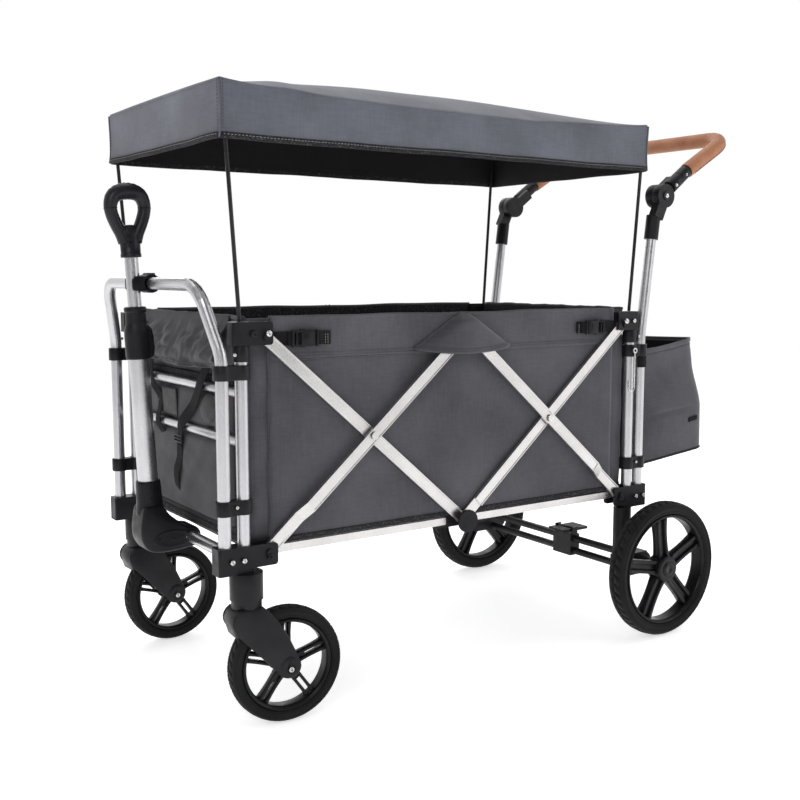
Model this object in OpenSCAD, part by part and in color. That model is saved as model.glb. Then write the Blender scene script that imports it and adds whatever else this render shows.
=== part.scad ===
// Folding four-wheel kids wagon with a canopy, a pull handle at the front (-X)
// and a push handle at the rear (+X). Millimetres, +Z up, ground at z = 0.

/* [Frame] */
// Distance between the front and rear corner posts
deck_len = 907; // [800:1:1050]
// Distance from the centre plane to the corner posts
post_y = 252; // [220:1:300]
// Outer diameter of the frame tubes
tube_d = 22; // [18:0.5:26]
// Wall of the frame tubes
tube_wall = 1.5; // [1:0.1:3]
// Height of the lower scissor pivots
low_z = 304; // [290:1:330]
// Height of the upper scissor pivots
high_z = 670; // [620:1:720]
// Front posts to the front scissor pivots
front_pivot_gap = 41; // [36:1:60]
// Rear posts to the rear scissor pivots
rear_pivot_gap = 28; // [27:1:60]
// Front posts forward to the arch legs
leg_gap = 35; // [31:1:45]
// Rear posts back to the push tubes
push_gap = 33; // [31:1:45]
// Height of the front arch's top bar
arch_z = 757; // [740:1:800]

/* [Scissor bars] */
// Width of a scissor bar
bar_w = 22; // [16:1:26]
// Thickness of a scissor bar
bar_t = 7.5; // [6:0.5:8]
// Radius of the scissor pivot pins
pin_r = 4; // [3:0.5:5]
// Steepening of the bars from open to folded, in degrees
fold_angle = 34; // [20:1:34]

/* [Wheels] */
// Outer radius of a front wheel
front_r = 102.5; // [85:0.5:115]
// Width of a front tyre
front_w = 36; // [30:1:42]
// Height of a front tyre over its rim
front_tyre_h = 21; // [15:1:26]
// Distance a front wheel trails behind its swivel axis
trail = 68; // [50:1:80]
// Turn of the near front caster at rest, in degrees
near_turn = -6; // [-30:1:30]
// Turn of the far front caster at rest, in degrees
far_turn = 3; // [-30:1:30]
// Outer radius of a rear wheel
rear_r = 145; // [120:1:160]
// Width of a rear tyre
rear_w = 42; // [32:1:50]
// Height of a rear tyre over its rim
rear_tyre_h = 27; // [18:1:34]
// Distance from a corner post out to a rear wheel's middle
track_gap = 67; // [50:1:90]
// Radius of the wheel axles
axle_r = 6; // [4:0.5:8]

/* [Canopy] */
// Height of the canopy's lower edge
canopy_low_z = 991; // [960:1:1100]
// Height of the canopy's side skirts
skirt_h = 97; // [60:1:140]
// How far the canopy's sides stand outside the corner posts
canopy_over = 8; // [1:1:50]
// Thickness of the canopy cloth with its lining
cloth_t = 3; // [2:0.5:5]
// Diameter of the canopy rods
rod_d = 7; // [5:0.5:9]

/* [Tub] */
// Thickness of the tub walls
wall_t = 3; // [2:0.5:5]
// Height of the tub's rim
rim_z = 702; // [690:1:740]
// Thickness of the floor boards
board_t = 6; // [4:0.5:10]
// Height of the floor rails
rail_h = 14; // [10:1:18]

/* [Handles] */
// Outer diameter of the pull handle's outer tube
pull_outer_d = 36; // [32:1:40]
// Diameter of the pull handle's inner tube
pull_inner_d = 24; // [20:1:27]
// Travel of the pull handle's inner tube
pull_travel = 230; // [100:5:235]
// Width of the pull grip's loop
loop_w = 92; // [80:1:120]
// Diameter of the push bar's grip
grip_d = 31; // [27:1:36]
// Reach of the push bar behind its pivots
push_reach = 213; // [180:1:260]
// Height of the push bar's cross piece over its pivots
push_rise = 138; // [100:1:180]

/* [Fits] */
// Radial running clearance of pins and axles
run_gap = 0.06; // [0.03:0.01:0.1]
// Gap between pieces that slide or rest on each other
slip = 0.3; // [0.2:0.05:0.5]

/* [Hidden] */
$fn = 48;

// Where things stand along X: the object's middle is x = 0.
tube_r = tube_d / 2;
pull_grip_gap = 94;          // front posts to the middle of the pull grip
push_pivot_gap = push_gap + 53;
front_reach = pull_grip_gap + loop_w / 2;
rear_reach = push_pivot_gap + push_reach + grip_d / 2;
front_x = front_reach - (front_reach + deck_len + rear_reach) / 2;
rear_x = front_x + deck_len;
leg_x = front_x - leg_gap;
front_pivot_x = front_x + front_pivot_gap;
rear_pivot_x = rear_x - rear_pivot_gap;
mid_x = (front_pivot_x + rear_pivot_x) / 2;
half_run = mid_x - front_pivot_x;
rise = high_z - low_z;
bar_len = norm([half_run, rise]);
bar_angle = atan2(rise, half_run);
mid_z = (low_z + high_z) / 2;
rear_track = post_y + track_gap;
canopy_y = post_y + canopy_over;

// Layers of the folding side frames, measured from the centre plane
post_in = post_y - tube_r;
inner_bar_y = post_y + 2;
outer_bar_y = inner_bar_y + bar_t + 1.2;
cheek_y = inner_bar_y + bar_t + 1;
cheek_t = 4;
rail_y1 = inner_bar_y - 2.5;
rail_y0 = rail_y1 - 11;
ear_y1 = rail_y0 - slip;
ear_y0 = ear_y1 - 6;

// Heights of the corner brackets
bracket_low = 274;
bracket_high = 320;
socket_z = bracket_low + 9;
collar_z = high_z - 40;
top_low = high_z - 13;
top_high = high_z + 26;
inner_post_d = tube_d - 2 * tube_wall - 2 * slip;
fold_rise = bar_len * (sin(bar_angle + fold_angle) - sin(bar_angle));
inner_post_z = collar_z - fold_rise - 40;

// Floor
rail_top = low_z + rail_h / 2;
board_z = rail_top + slip;
board_top = board_z + board_t;
mid_gap = 36;                // floor pieces stop this far from the middle
wall_bottom = board_top - 10;

// Wheels
caster_x = front_x + 3;
rear_axle_x = rear_x + 46;
stem_x = rear_x - 9;
housing_low = 213;

// Handles
pull_pivot_z = 289;
pull_lean = 2.8;             // forward lean of the pull handle, in degrees
pull_foot_x = front_x - 70;
pull_foot_z = 392;
collar_low = 244;            // along the pull tube, from its foot
collar_len = 79;
inner_low = 20;
push_pivot_x = rear_x + push_pivot_gap;
push_pivot_z = 941;
disc_r = 25;

function unit(v) = v / norm(v);

module pair() {
    children();
    mirror([0, 1, 0]) children();
}

// A round section, hollow where a wall is given
module section(d, wall) {
    difference() {
        circle(d = d);
        if (wall > 0) circle(d = d - 2 * wall);
    }
}

// A straight tube from p to q
module tube(p, q, d, wall = 0) {
    v = q - p;
    translate(p)
        rotate([0, acos(v[2] / norm(v)), atan2(v[1], v[0])])
            linear_extrude(norm(v)) section(d, wall);
}

// Rings along a bent line, each [middle, direction]; bend[i] is the radius at an inner point
function bent_rings(pts, bend, steps) =
    let (last = len(pts) - 1,
         dirs = [for (i = [0 : last - 1]) unit(pts[i + 1] - pts[i])])
    concat([[pts[0], dirs[0]]],
           [for (i = [1 : last - 1])
               let (u = dirs[i - 1], w = dirs[i], turn = acos(u * w),
                    n = unit(w - (u * w) * u), r = bend[i - 1],
                    c = pts[i] - r * tan(turn / 2) * u + r * n)
               for (k = [0 : steps])
                   let (a = turn * k / steps)
                   [c + r * (sin(a) * u - cos(a) * n), cos(a) * u + sin(a) * n]],
           [[pts[last], dirs[last - 1]]]);

function ring_points(rings, r, ref, sides) = [
    for (ring = rings)
        let (n1 = unit(cross(ring[1], ref)), n2 = cross(ring[1], n1))
        for (j = [0 : sides - 1])
            ring[0] + r * (cos(j * 360 / sides) * n1 + sin(j * 360 / sides) * n2)];

// A tube along a bent line. ref is a direction that the line never takes.
module bent_tube(pts, bend, d, wall = 0, ref = [1, 0, 0], sides = 20, steps = 6) {
    rings = bent_rings(pts, bend, steps);
    last = len(rings) - 1;
    outer = ring_points(rings, d / 2, ref, sides);
    inner = wall > 0 ? ring_points(rings, d / 2 - wall, ref, sides) : [];
    hollow = len(outer);
    skin = [for (i = [0 : last - 1], j = [0 : sides - 1])
        let (a = i * sides + j, b = i * sides + (j + 1) % sides)
        [a, a + sides, b + sides, b]];
    end = last * sides;
    bore = [for (f = skin) [f[0], f[3], f[2], f[1]] + hollow * [1, 1, 1, 1]];
    rims = [for (j = [0 : sides - 1]) let (b = (j + 1) % sides) each [
        [j, b, hollow + b, hollow + j],
        [end + j, hollow + end + j, hollow + end + b, end + b]]];
    caps = [[for (j = [0 : sides - 1]) j], [for (j = [sides - 1 : -1 : 0]) end + j]];
    polyhedron(concat(outer, inner),
               wall > 0 ? concat(skin, bore, rims) : concat(skin, caps));
}

// A rectangle with round corners, from corner to corner
module round_rect(x0, y0, x1, y1, r) {
    translate([x0 + r, y0]) square([x1 - x0 - 2 * r, y1 - y0]);
    translate([x0, y0 + r]) square([x1 - x0, y1 - y0 - 2 * r]);
    for (x = [x0 + r, x1 - r], y = [y0 + r, y1 - r])
        translate([x, y]) circle(r);
}

// A plate in the X-Z plane between two distances from the centre plane
module plate(y0, y1) {
    translate([0, y1, 0]) rotate([90, 0, 0]) linear_extrude(y1 - y0) children();
}

// A pin across the centre plane's normal
module pin_y(x, z, y0, y1, r) {
    translate([x, y1, z]) rotate([90, 0, 0]) cylinder(h = y1 - y0, r = r);
}

// A bolt whose head lies outside y1
module bolt_y(x, z, y0, y1) {
    union() {
        pin_y(x, z, y0, y1 + 1, pin_r);
        pin_y(x, z, y1, y1 + 3.5, pin_r + 2.5);
    }
}

// ---- Front frame ----

module arch_tube() {
    lean_z = collar_z + 11;
    slope_x = leg_x - 25;
    bent_tube([[leg_x, -post_y, socket_z], [leg_x, -post_y, lean_z],
               [slope_x, -post_y + 35, arch_z], [slope_x, post_y - 35, arch_z],
               [leg_x, post_y, lean_z], [leg_x, post_y, socket_z]],
              [90, 52, 52, 90], tube_d, tube_wall);
}

module front_arch() {
    color("silver") arch_tube();
}

module post_tubes(x) {
    pair() tube([x, post_y, socket_z], [x, post_y, collar_z + 20], tube_d, tube_wall);
}

module front_posts() {
    color("silver") post_tubes(front_x);
}

// A clip that joins two upright tubes
module clip(xa, xb, z0, h) {
    translate([0, 0, z0]) linear_extrude(h) difference() {
        union() {
            for (x = [xa, xb]) translate([x, post_y]) circle(tube_r + 3.8);
            translate([min(xa, xb), post_y - 11]) square([abs(xb - xa), 22]);
        }
        for (x = [xa, xb]) translate([x, post_y]) circle(tube_r + 0.05);
    }
}

// The sleeve on top of an outer post, which guides the inner post
module collar(x) {
    translate([x, post_y, collar_z]) difference() {
        cylinder(h = top_low - slip - collar_z, r = tube_r + 3.6);
        translate([0, 0, -1]) cylinder(h = 21, r = tube_r + 0.05);
        cylinder(h = 60, d = inner_post_d + 2 * slip);
    }
}

module front_clips() {
    color([0.08, 0.08, 0.09]) {
        pair() clip(leg_x, front_x, collar_z - 30, 25);
        pair() clip(leg_x, front_x, low_z + 70, 25);
        pair() collar(front_x);
    }
}

// A bottom corner bracket: a block round the tubes, and a fork for the bar and the rail
module bottom_bracket(x_out, x_post, x_in, x_pivot, tubes) {
    side = x_in > x_post ? 1 : -1;
    x_wall = x_post + side * (tube_r + 1.5);
    r = 6;
    difference() {
        union() {
            translate([0, 0, bracket_low]) linear_extrude(bracket_high - bracket_low)
                round_rect(min(x_out, x_wall), ear_y0, max(x_out, x_wall),
                           cheek_y + cheek_t, 4);
            for (y = [[ear_y0, ear_y1], [cheek_y, cheek_y + cheek_t]])
                plate(y[0], y[1]) round_rect(min(x_wall - side * 8, x_in), bracket_low + 8,
                                             max(x_wall - side * 8, x_in), bracket_high, r);
        }
        for (x = tubes) translate([x, post_y, socket_z]) cylinder(h = 60, r = tube_r + 0.05);
        pin_y(x_pivot, low_z, ear_y0 - 1, cheek_y + cheek_t + 1, pin_r + run_gap);
    }
}

module front_brackets() {
    color([0.08, 0.08, 0.09]) pair()
        bottom_bracket(leg_x - 17, front_x, front_pivot_x + 16, front_pivot_x,
                       [leg_x, front_x]);
    color("silver") pair()
        bolt_y(front_pivot_x, low_z, ear_y0, cheek_y + cheek_t + slip);
}

module front_rungs() {
    color("silver") for (z = [pull_pivot_z, 494, 577])
        tube([front_x, -rung_end(z), z], [front_x, rung_end(z), z],
             z == pull_pivot_z ? tube_d : 16, tube_wall);
}

// Rungs end on the posts, and the bottom rail on the brackets
function rung_end(z) = z == pull_pivot_z ? ear_y0 : post_in - 0.05;

module caster_housings() {
    color([0.1, 0.1, 0.11]) pair() translate([caster_x, post_y, housing_low]) difference() {
        union() {
            cylinder(h = bracket_low - housing_low, r = 26);
            translate([0, 0, 14]) cylinder(h = bracket_low - housing_low - 14, r = 28.5);
        }
        translate([0, 0, -1]) cylinder(h = 51, r = 8 + run_gap);
    }
}

module handle_catch() {
    reach = leg_x - 25;
    color([0.08, 0.08, 0.09]) difference() {
        translate([0, 0, arch_z - tube_r - 2]) linear_extrude(tube_d + 4) {
            translate([reach - tube_r - 3, -20]) square([tube_d + 8, 40]);
            for (y = [-20, 14.5]) translate([reach - tube_r - 25, y]) square([22, 5.5]);
        }
        tube([reach, -30, arch_z], [reach, 30, arch_z], tube_d + 0.1);
    }
}

// ---- Casters and wheels ----

// Turns a caster that is drawn straight at its swivel axis
module caster_place(side, turn) {
    translate([caster_x, side * post_y, 0]) rotate([0, 0, turn]) children();
}

module caster_fork() {
    leg_y = front_w / 2 + 3;
    color([0.1, 0.1, 0.11]) difference() {
        union() {
            translate([0, 0, 200]) cylinder(h = 60, r = 8);
            translate([0, 0, 198]) cylinder(h = housing_low - slip - 198, r = 26);
            pair() plate(leg_y, leg_y + 6) {
                polygon([[-24, housing_low - 1], [24, housing_low - 1],
                         [trail + 16, front_r + 8], [trail - 2, front_r - 17],
                         [trail - 18, front_r - 10]]);
                translate([trail, front_r]) circle(18);
            }
            translate([-23, -leg_y - 6, 198]) cube([46, 2 * leg_y + 12, 14]);
            pin_y(trail, front_r, -leg_y - 1, leg_y + 1, axle_r);
        }
    }
}

module caster_fork_left() caster_place(-1, near_turn) caster_fork();
module caster_fork_right() caster_place(1, far_turn) caster_fork();

// A tyre round the Y axis
module tyre(r, w, h) {
    c = 7;
    color([0.05, 0.05, 0.055]) rotate([90, 0, 0]) rotate_extrude($fn = 96)
        union() {
            translate([r - h, -w / 2 + 3]) square([h - c, w - 6]);
            translate([r - h + 3, -w / 2]) square([h - c - 5, w]);
            translate([r - c - 3, -w / 2 + c]) square([c + 3, w - 2 * c]);
            for (y = [-1, 1]) translate([r - c, y * (w / 2 - c)]) circle(c);
        }
}

// A rim with its hub and spokes in pairs, round the Y axis
module rim(r, w, hub_r, spokes, spread) {
    inner = r - 8;
    color([0.09, 0.09, 0.1]) rotate([90, 0, 0]) difference() {
        union() {
            rotate_extrude($fn = 96) {
                translate([r - 3, -w / 2]) square([3, w]);
                translate([inner, -w / 4]) square([r - inner, w / 2]);
            }
            cylinder(h = w, r = hub_r, center = true);
            for (i = [0 : spokes - 1], s = [-1, 1])
                rotate([0, 0, i * 360 / spokes + s * spread])
                    translate([hub_r - 6, -3, -6]) cube([inner - hub_r + 8, 6, 12]);
        }
        cylinder(h = w + 2, r = axle_r + run_gap, center = true);
    }
}

module front_wheel_place(side, turn)
    caster_place(side, turn) translate([trail, 0, front_r]) children();

module front_rim() rim(front_r - front_tyre_h, front_w - 2, 18, 5, 11.5);
module front_rim_left() front_wheel_place(-1, near_turn) front_rim();
module front_rim_right() front_wheel_place(1, far_turn) front_rim();
module front_tyre_left() front_wheel_place(-1, near_turn)
    tyre(front_r, front_w, front_tyre_h);
module front_tyre_right() front_wheel_place(1, far_turn)
    tyre(front_r, front_w, front_tyre_h);

module rear_wheel_place(side) translate([rear_axle_x, side * rear_track, rear_r]) children();
module rear_rim() rim(rear_r - rear_tyre_h, rear_w - 4, 28, 5, 7);
module rear_rim_left() rear_wheel_place(-1) rear_rim();
module rear_rim_right() rear_wheel_place(1) rear_rim();
module rear_tyre_left() rear_wheel_place(-1) tyre(rear_r, rear_w, rear_tyre_h);
module rear_tyre_right() rear_wheel_place(1) tyre(rear_r, rear_w, rear_tyre_h);

// ---- Scissor side frames ----

// The grooved section of a bar, across its thickness and its width
module bar_profile(y0) {
    lip = 2;
    groove = 1.2;
    translate([y0, 0]) polygon([[0, -bar_w / 2], [bar_t, -bar_w / 2],
        [bar_t, -bar_w / 2 + lip], [bar_t - groove, -bar_w / 2 + lip + 1],
        [bar_t - groove, bar_w / 2 - lip - 1], [bar_t, bar_w / 2 - lip],
        [bar_t, bar_w / 2], [0, bar_w / 2]]);
}

module bar_stretch(s0, s1, y0) {
    translate([s0, 0, 0]) rotate([90, 0, 90]) linear_extrude(s1 - s0) bar_profile(y0);
}

module bar_end(s, y0) {
    pin_y(s, 0, y0, y0 + bar_t, bar_w / 2 - 0.5);
}

// A bar along +X from its lower pivot. A joggled bar runs in the outer layer, and steps in
// to the inner layer near its lower end so that it fits the bracket's fork.
// Where two bars of one layer meet on a middle pin, each keeps half its thickness: the outer
// half where outer_lap is true.
module bar(joggle, outer_lap) {
    step = 80;
    ramp = 26;
    lap = bar_w / 2 / sin(90 - bar_angle - fold_angle) + 4;
    main_y = joggle ? outer_bar_y : inner_bar_y;
    half_t = bar_t / 2 + 0.2;
    difference() {
        union() {
            bar_end(0, inner_bar_y);
            bar_end(bar_len, main_y);
            if (joggle) {
                bar_stretch(0, step, inner_bar_y);
                bar_stretch(step + ramp, bar_len, outer_bar_y);
                translate([0, 0, -bar_w / 2]) linear_extrude(bar_w) polygon([
                    [step, inner_bar_y], [step, inner_bar_y + bar_t],
                    [step + ramp, outer_bar_y + bar_t], [step + ramp, outer_bar_y]]);
            } else bar_stretch(0, bar_len, inner_bar_y);
        }
        translate([joggle ? bar_len - lap : -bar_w, main_y + (outer_lap ? -1 : half_t - 0.4),
                   -bar_w]) cube([lap + bar_w, outer_lap ? half_t + 1 : half_t + 1, 2 * bar_w]);
        for (s = [0, bar_len / 2, bar_len])
            pin_y(s, 0, inner_bar_y - 1, outer_bar_y + bar_t + 1, pin_r + run_gap);
    }
}

// Puts a bar's lower end at a pivot
module bar_place(x, z, angle) translate([x, 0, z]) rotate([0, -angle, 0]) children();

module scissor_bars_a() {
    color("silver") pair() bar_place(mid_x, low_z, 180 - bar_angle) bar(false, true);
}

module scissor_bars_b() {
    color("silver") pair() bar_place(front_pivot_x, low_z, bar_angle) bar(true, true);
}

module scissor_bars_c() {
    color("silver") pair() bar_place(rear_pivot_x, low_z, 180 - bar_angle) bar(true, false);
}

module scissor_bars_d() {
    color("silver") pair() bar_place(mid_x, low_z, bar_angle) bar(false, false);
}

module rivet(x, z) {
    y_out = outer_bar_y + bar_t + slip;
    pin_y(x, z, inner_bar_y - 0.5, y_out + 1, pin_r);
    pin_y(x, z, y_out, y_out + 3, pin_r + 3);
}

module front_rivets() {
    color("silver") pair() rivet((front_pivot_x + mid_x) / 2, mid_z);
}

module rear_rivets() {
    color("silver") pair() rivet((rear_pivot_x + mid_x) / 2, mid_z);
}

// Round knuckles with a pin where two bars meet in the middle
module knuckle(z, r, y_in) {
    y_out = outer_bar_y + bar_t + slip;
    pin_y(mid_x, z, y_in, y_out + 1, pin_r);
    pin_y(mid_x, z, y_out, y_out + 5, r);
}

module top_knuckles() {
    color([0.08, 0.08, 0.09]) pair() knuckle(high_z, 14, inner_bar_y - 2);
}

module mid_knuckles() {
    saddle = mid_gap + 24;
    floor_z = low_z - rail_h / 2 - slip;
    color([0.08, 0.08, 0.09]) pair() union() {
        knuckle(low_z, 22, rail_y1 - 4);
        plate(rail_y0 - 2, inner_bar_y - 1)
            round_rect(mid_x - mid_gap + slip, floor_z - 2, mid_x + mid_gap - slip,
                       rail_top, 1.5);
        plate(rail_y0 - 3, inner_bar_y - 1) translate([mid_x - saddle, floor_z - 4])
            square([2 * saddle, 4]);
        plate(rail_y0 - 3, rail_y0 - slip) translate([mid_x - saddle, floor_z - 4])
            square([2 * saddle, rail_h]);
    }
}

module mid_cross_tube() {
    tube_z = board_z - 7.5;
    end = rail_y0 - 3.02;
    color("silver") {
        tube([mid_x, -end, tube_z], [mid_x, end, tube_z], 16, tube_wall);
        translate([mid_x - mid_gap + 5, -post_in + 12, board_z])
            cube([2 * mid_gap - 10, 2 * post_in - 24, board_t]);
    }
}

// ---- Floor ----

// Both halves are drawn from their pivot towards +X
module floor_rails(len) {
    color("silver") difference() {
        union() {
            pair() plate(rail_y0 + slip, rail_y1 - slip) {
                circle(rail_h / 2);
                translate([0, -rail_h / 2]) square([len, rail_h]);
            }
            for (s = [60, len - 60])
                tube([s, -rail_y0 - 1, 0], [s, rail_y0 + 1, 0], rail_h);
        }
        pair() pin_y(0, 0, rail_y0 - 1, rail_y1 + 1, pin_r + run_gap);
    }
}

// wall_gap is the distance from the pivot to the end wall, which the board's end swings past
module floor_board(len, wall_gap) {
    back = sqrt(pow(wall_gap - 2, 2) - pow(board_top - low_z, 2));
    color([0.2, 0.2, 0.22]) translate([0, 0, board_z - low_z]) linear_extrude(board_t)
        union() {
            translate([-back, -ear_y0 + 3]) square([len + back, 2 * ear_y0 - 6]);
            translate([22, -post_in + 3]) square([len - 22, 2 * post_in - 6]);
        }
}

module front_floor_place() translate([front_pivot_x, 0, low_z]) children();
module rear_floor_place() translate([rear_pivot_x, 0, low_z]) mirror([1, 0, 0]) children();
module floor_rails_front() front_floor_place() floor_rails(half_run - mid_gap);
module floor_board_front()
    front_floor_place() floor_board(half_run - mid_gap, front_pivot_x - wall_front_x - wall_t);
module floor_rails_rear() rear_floor_place() floor_rails(half_run - mid_gap);
module floor_board_rear()
    rear_floor_place() floor_board(half_run - mid_gap, wall_rear_x - wall_t - rear_pivot_x);

// ---- Upper frame ----

// A top corner bracket: a block on the inner post, and a fork for the bar's upper end
module top_bracket(x_out, x_post, x_in, x_pivot) {
    side = x_in > x_post ? 1 : -1;
    x_wall = x_post + side * (tube_r + 1.5);
    difference() {
        union() {
            translate([0, 0, top_low]) linear_extrude(top_high - top_low)
                round_rect(min(x_out, x_wall), ear_y1, max(x_out, x_wall),
                           cheek_y + cheek_t, 4);
            for (y = [[rail_y0, inner_bar_y - 0.8], [cheek_y, cheek_y + cheek_t]])
                plate(y[0], y[1]) round_rect(min(x_wall - side * 8, x_in), top_low,
                                             max(x_wall - side * 8, x_in), top_high, 6);
        }
        translate([x_post, post_y, top_low - 1])
            cylinder(h = top_high - top_low - 3, d = inner_post_d + 0.1);
        pin_y(x_pivot, high_z, rail_y0 - 1, cheek_y + cheek_t + 1, pin_r + run_gap);
    }
}

module front_top_brackets() {
    color([0.08, 0.08, 0.09]) pair()
        top_bracket(front_x - 20, front_x, front_pivot_x + 12, front_pivot_x);
    color("silver") pair() bolt_y(front_pivot_x, high_z, rail_y0, cheek_y + cheek_t + slip);
}

module rear_top_brackets() {
    color([0.08, 0.08, 0.09]) pair()
        top_bracket(rear_x + 14, rear_x, rear_pivot_x - 18, rear_pivot_x);
    color("silver") pair() bolt_y(rear_pivot_x, high_z, rail_y0, cheek_y + cheek_t + slip);
}

module inner_posts(x) {
    pair() tube([x, post_y, inner_post_z], [x, post_y, top_high - 4.05], inner_post_d,
                tube_wall);
}

module front_inner_posts() {
    color("silver") inner_posts(front_x);
}

module rear_inner_posts() {
    color("silver") inner_posts(rear_x);
}

// A canopy hoop rises from the top brackets and crosses under the canopy
canopy_front_x = front_x - 34;
canopy_rear_x = rear_x + 36;
hoop_y = canopy_y - cloth_t - rod_d / 2 - 0.5;
hoop_top = canopy_low_z + skirt_h - cloth_t - rod_d / 2 - 0.5;

module hoop(x_foot, x_top) {
    foot = post_y - 3;
    color([0.06, 0.06, 0.065])
        bent_tube([[x_foot, -foot, top_high + 0.6], [x_top, -hoop_y, hoop_top],
                   [x_top, hoop_y, hoop_top], [x_foot, foot, top_high + 0.6]],
                  [18, 18], rod_d, sides = 12);
}

module front_hoop() hoop(front_x, canopy_front_x + cloth_t + rod_d / 2 + 0.5);
module rear_hoop() hoop(rear_x, canopy_rear_x - cloth_t - rod_d / 2 - 0.5);

// A shell open at the bottom, with a sloped step for the piping at its top edge
module canopy_cover() {
    x0 = canopy_front_x;
    x1 = canopy_rear_x;
    top = canopy_low_z + skirt_h;
    color([0.4, 0.41, 0.44]) difference() {
        translate([x0, -canopy_y, canopy_low_z]) cube([x1 - x0, 2 * canopy_y, skirt_h]);
        translate([x0 + cloth_t, -canopy_y + cloth_t, canopy_low_z - 1])
            cube([x1 - x0 - 2 * cloth_t, 2 * (canopy_y - cloth_t), skirt_h + 1 - cloth_t]);
    }
}

// ---- Tub ----

wall_front_x = front_x + tube_r + 2.5;
wall_rear_x = rear_x - 4;
side_y1 = post_in + 8;

module side_wall() {
    x0 = front_pivot_x + 12 + 2 * slip;
    x1 = rear_pivot_x - 18 - 2 * slip;
    color([0.33, 0.33, 0.35]) plate(side_y1 - wall_t, side_y1)
        translate([x0, wall_bottom + 8]) square([x1 - x0, rim_z - wall_bottom - 8]);
}

module side_wall_left() mirror([0, 1, 0]) side_wall();
module side_wall_right() side_wall();

module end_wall(x) {
    color([0.33, 0.33, 0.35]) translate([x, -end_wall_y, wall_bottom])
        cube([wall_t, 2 * end_wall_y, rim_z - wall_bottom]);
}
end_wall_y = ear_y0 - 2 * slip;

module front_wall() end_wall(wall_front_x);
module rear_wall() end_wall(wall_rear_x - wall_t);

// ---- Rear frame ----

module rear_posts() {
    color("silver") {
        post_tubes(rear_x);
        tube([rear_x, -ear_y0, pull_pivot_z], [rear_x, ear_y0, pull_pivot_z], tube_d,
             tube_wall);
    }
}

module rear_clips() {
    color([0.08, 0.08, 0.09]) {
        pair() clip(rear_x, rear_x + push_gap, collar_z - 30, 25);
        pair() clip(rear_x, rear_x + push_gap, low_z + 53, 25);
        mirror([0, 1, 0])
            pin_y(rear_x, collar_z - 17, post_y + tube_r + 3, post_y + tube_r + 9, 2.5);
        pair() collar(rear_x);
    }
}

module rear_brackets() {
    color([0.08, 0.08, 0.09]) pair()
        bottom_bracket(rear_x + push_gap + 15, rear_x, rear_pivot_x - 20, rear_pivot_x,
                       [rear_x, rear_x + push_gap]);
    color("silver") pair()
        bolt_y(rear_pivot_x, low_z, ear_y0, cheek_y + cheek_t + slip);
}

// Black stems, axle housings and the double axle, welded up as one piece
module rear_axle_frame() {
    stem_r = 19;
    bar_x = rear_x + 31;
    color([0.1, 0.1, 0.11]) union() {
        pair() {
            translate([stem_x, post_y, rear_r + 20])
                cylinder(h = bracket_low - rear_r - 20, r = stem_r);
            plate(post_y - 14, post_y + 14) union() {
                translate([stem_x - 19, rear_r - 24])
                    square([rear_axle_x - stem_x + 30, 48]);
                translate([rear_axle_x, rear_r]) circle(24);
            }
            pin_y(rear_axle_x, rear_r, post_y, rear_track + rear_w / 2 - 2, axle_r);
            pin_y(rear_axle_x, rear_r, post_y, rear_track - rear_w / 2 + 1.5, axle_r + 8);
        }
        for (z = [rear_r - 16, rear_r + 13])
            tube([bar_x, -post_y + 10, z], [bar_x, post_y - 10, z], 16);
        translate([bar_x - 14, -64, rear_r - 26]) cube([28, 60, 49]);
        for (y = [-64, -7.5]) translate([bar_x - 8, y, rear_r + 20]) cube([16, 3.5, 20]);
        pin_y(bar_x, rear_r + 33, -63, -5, 3);
    }
}

module push_tubes() {
    x = rear_x + push_gap;
    color("silver") pair()
        bent_tube([[x, post_y, socket_z], [x, post_y, 640],
                   [push_pivot_x - 22, post_y, push_pivot_z - 48]], [180], tube_d, tube_wall,
                  [0, 1, 0]);
}

// An arm of a push joint from the disc along a direction, in the X-Z plane
module joint_arm(angle, reach, r) {
    circle(disc_r);
    rotate(angle) translate([0, -r]) square([reach, 2 * r]);
}

push_up_angle = 37;
joint_mid = post_y - 3;
push_end = [push_pivot_x - 22, post_y, push_pivot_z - 48];
push_dir = unit(push_end - [rear_x + push_gap, post_y, 640]);

module push_joints_lower() {
    color([0.08, 0.08, 0.09]) pair() {
        difference() {
            union() {
                translate([push_pivot_x, 0, push_pivot_z])
                    plate(joint_mid + slip, post_y + 16) {
                        circle(disc_r);
                        rotate(atan2(-48, -22)) translate([0, -13]) square([52, 26]);
                    }
                tube(push_end - 45 * push_dir, push_end + 6 * push_dir, tube_d + 8);
            }
            tube(push_end - 60 * push_dir, push_end + 0.05 * push_dir, tube_d + 0.1);
            pin_y(push_pivot_x, push_pivot_z, post_y + 9, post_y + 20, 10);
        }
        pin_y(push_pivot_x, push_pivot_z, joint_mid - 12, joint_mid + slip, 6);
    }
}

module push_place() translate([push_pivot_x, 0, push_pivot_z]) children();

module push_joints_upper() {
    u = [cos(push_up_angle), 0, sin(push_up_angle)];
    root = [0, post_y, 0];
    color([0.08, 0.08, 0.09]) push_place() pair() difference() {
        union() {
            plate(joint_mid - 19, joint_mid) {
                circle(disc_r);
                rotate(push_up_angle) translate([0, -12]) square([58, 24]);
            }
            tube(root + 32 * u, root + 66 * u, tube_d + 8);
        }
        tube(root + 36 * u, root + 90 * u, tube_d + 0.1);
        pin_y(0, 0, joint_mid - 13, joint_mid + 1, 6 + run_gap);
    }
}

// The push bar's middle line, from its socket to its middle, on one side
function push_line(start) = [start * [cos(push_up_angle), 0, sin(push_up_angle)]
                             + [0, post_y, 0],
                             [88 * cos(push_up_angle), post_y, 88 * sin(push_up_angle)],
                             [push_reach, post_y, push_rise]];
push_ref = [-sin(push_up_angle), 0, cos(push_up_angle)];
function flip(p) = [p[0], -p[1], p[2]];

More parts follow.
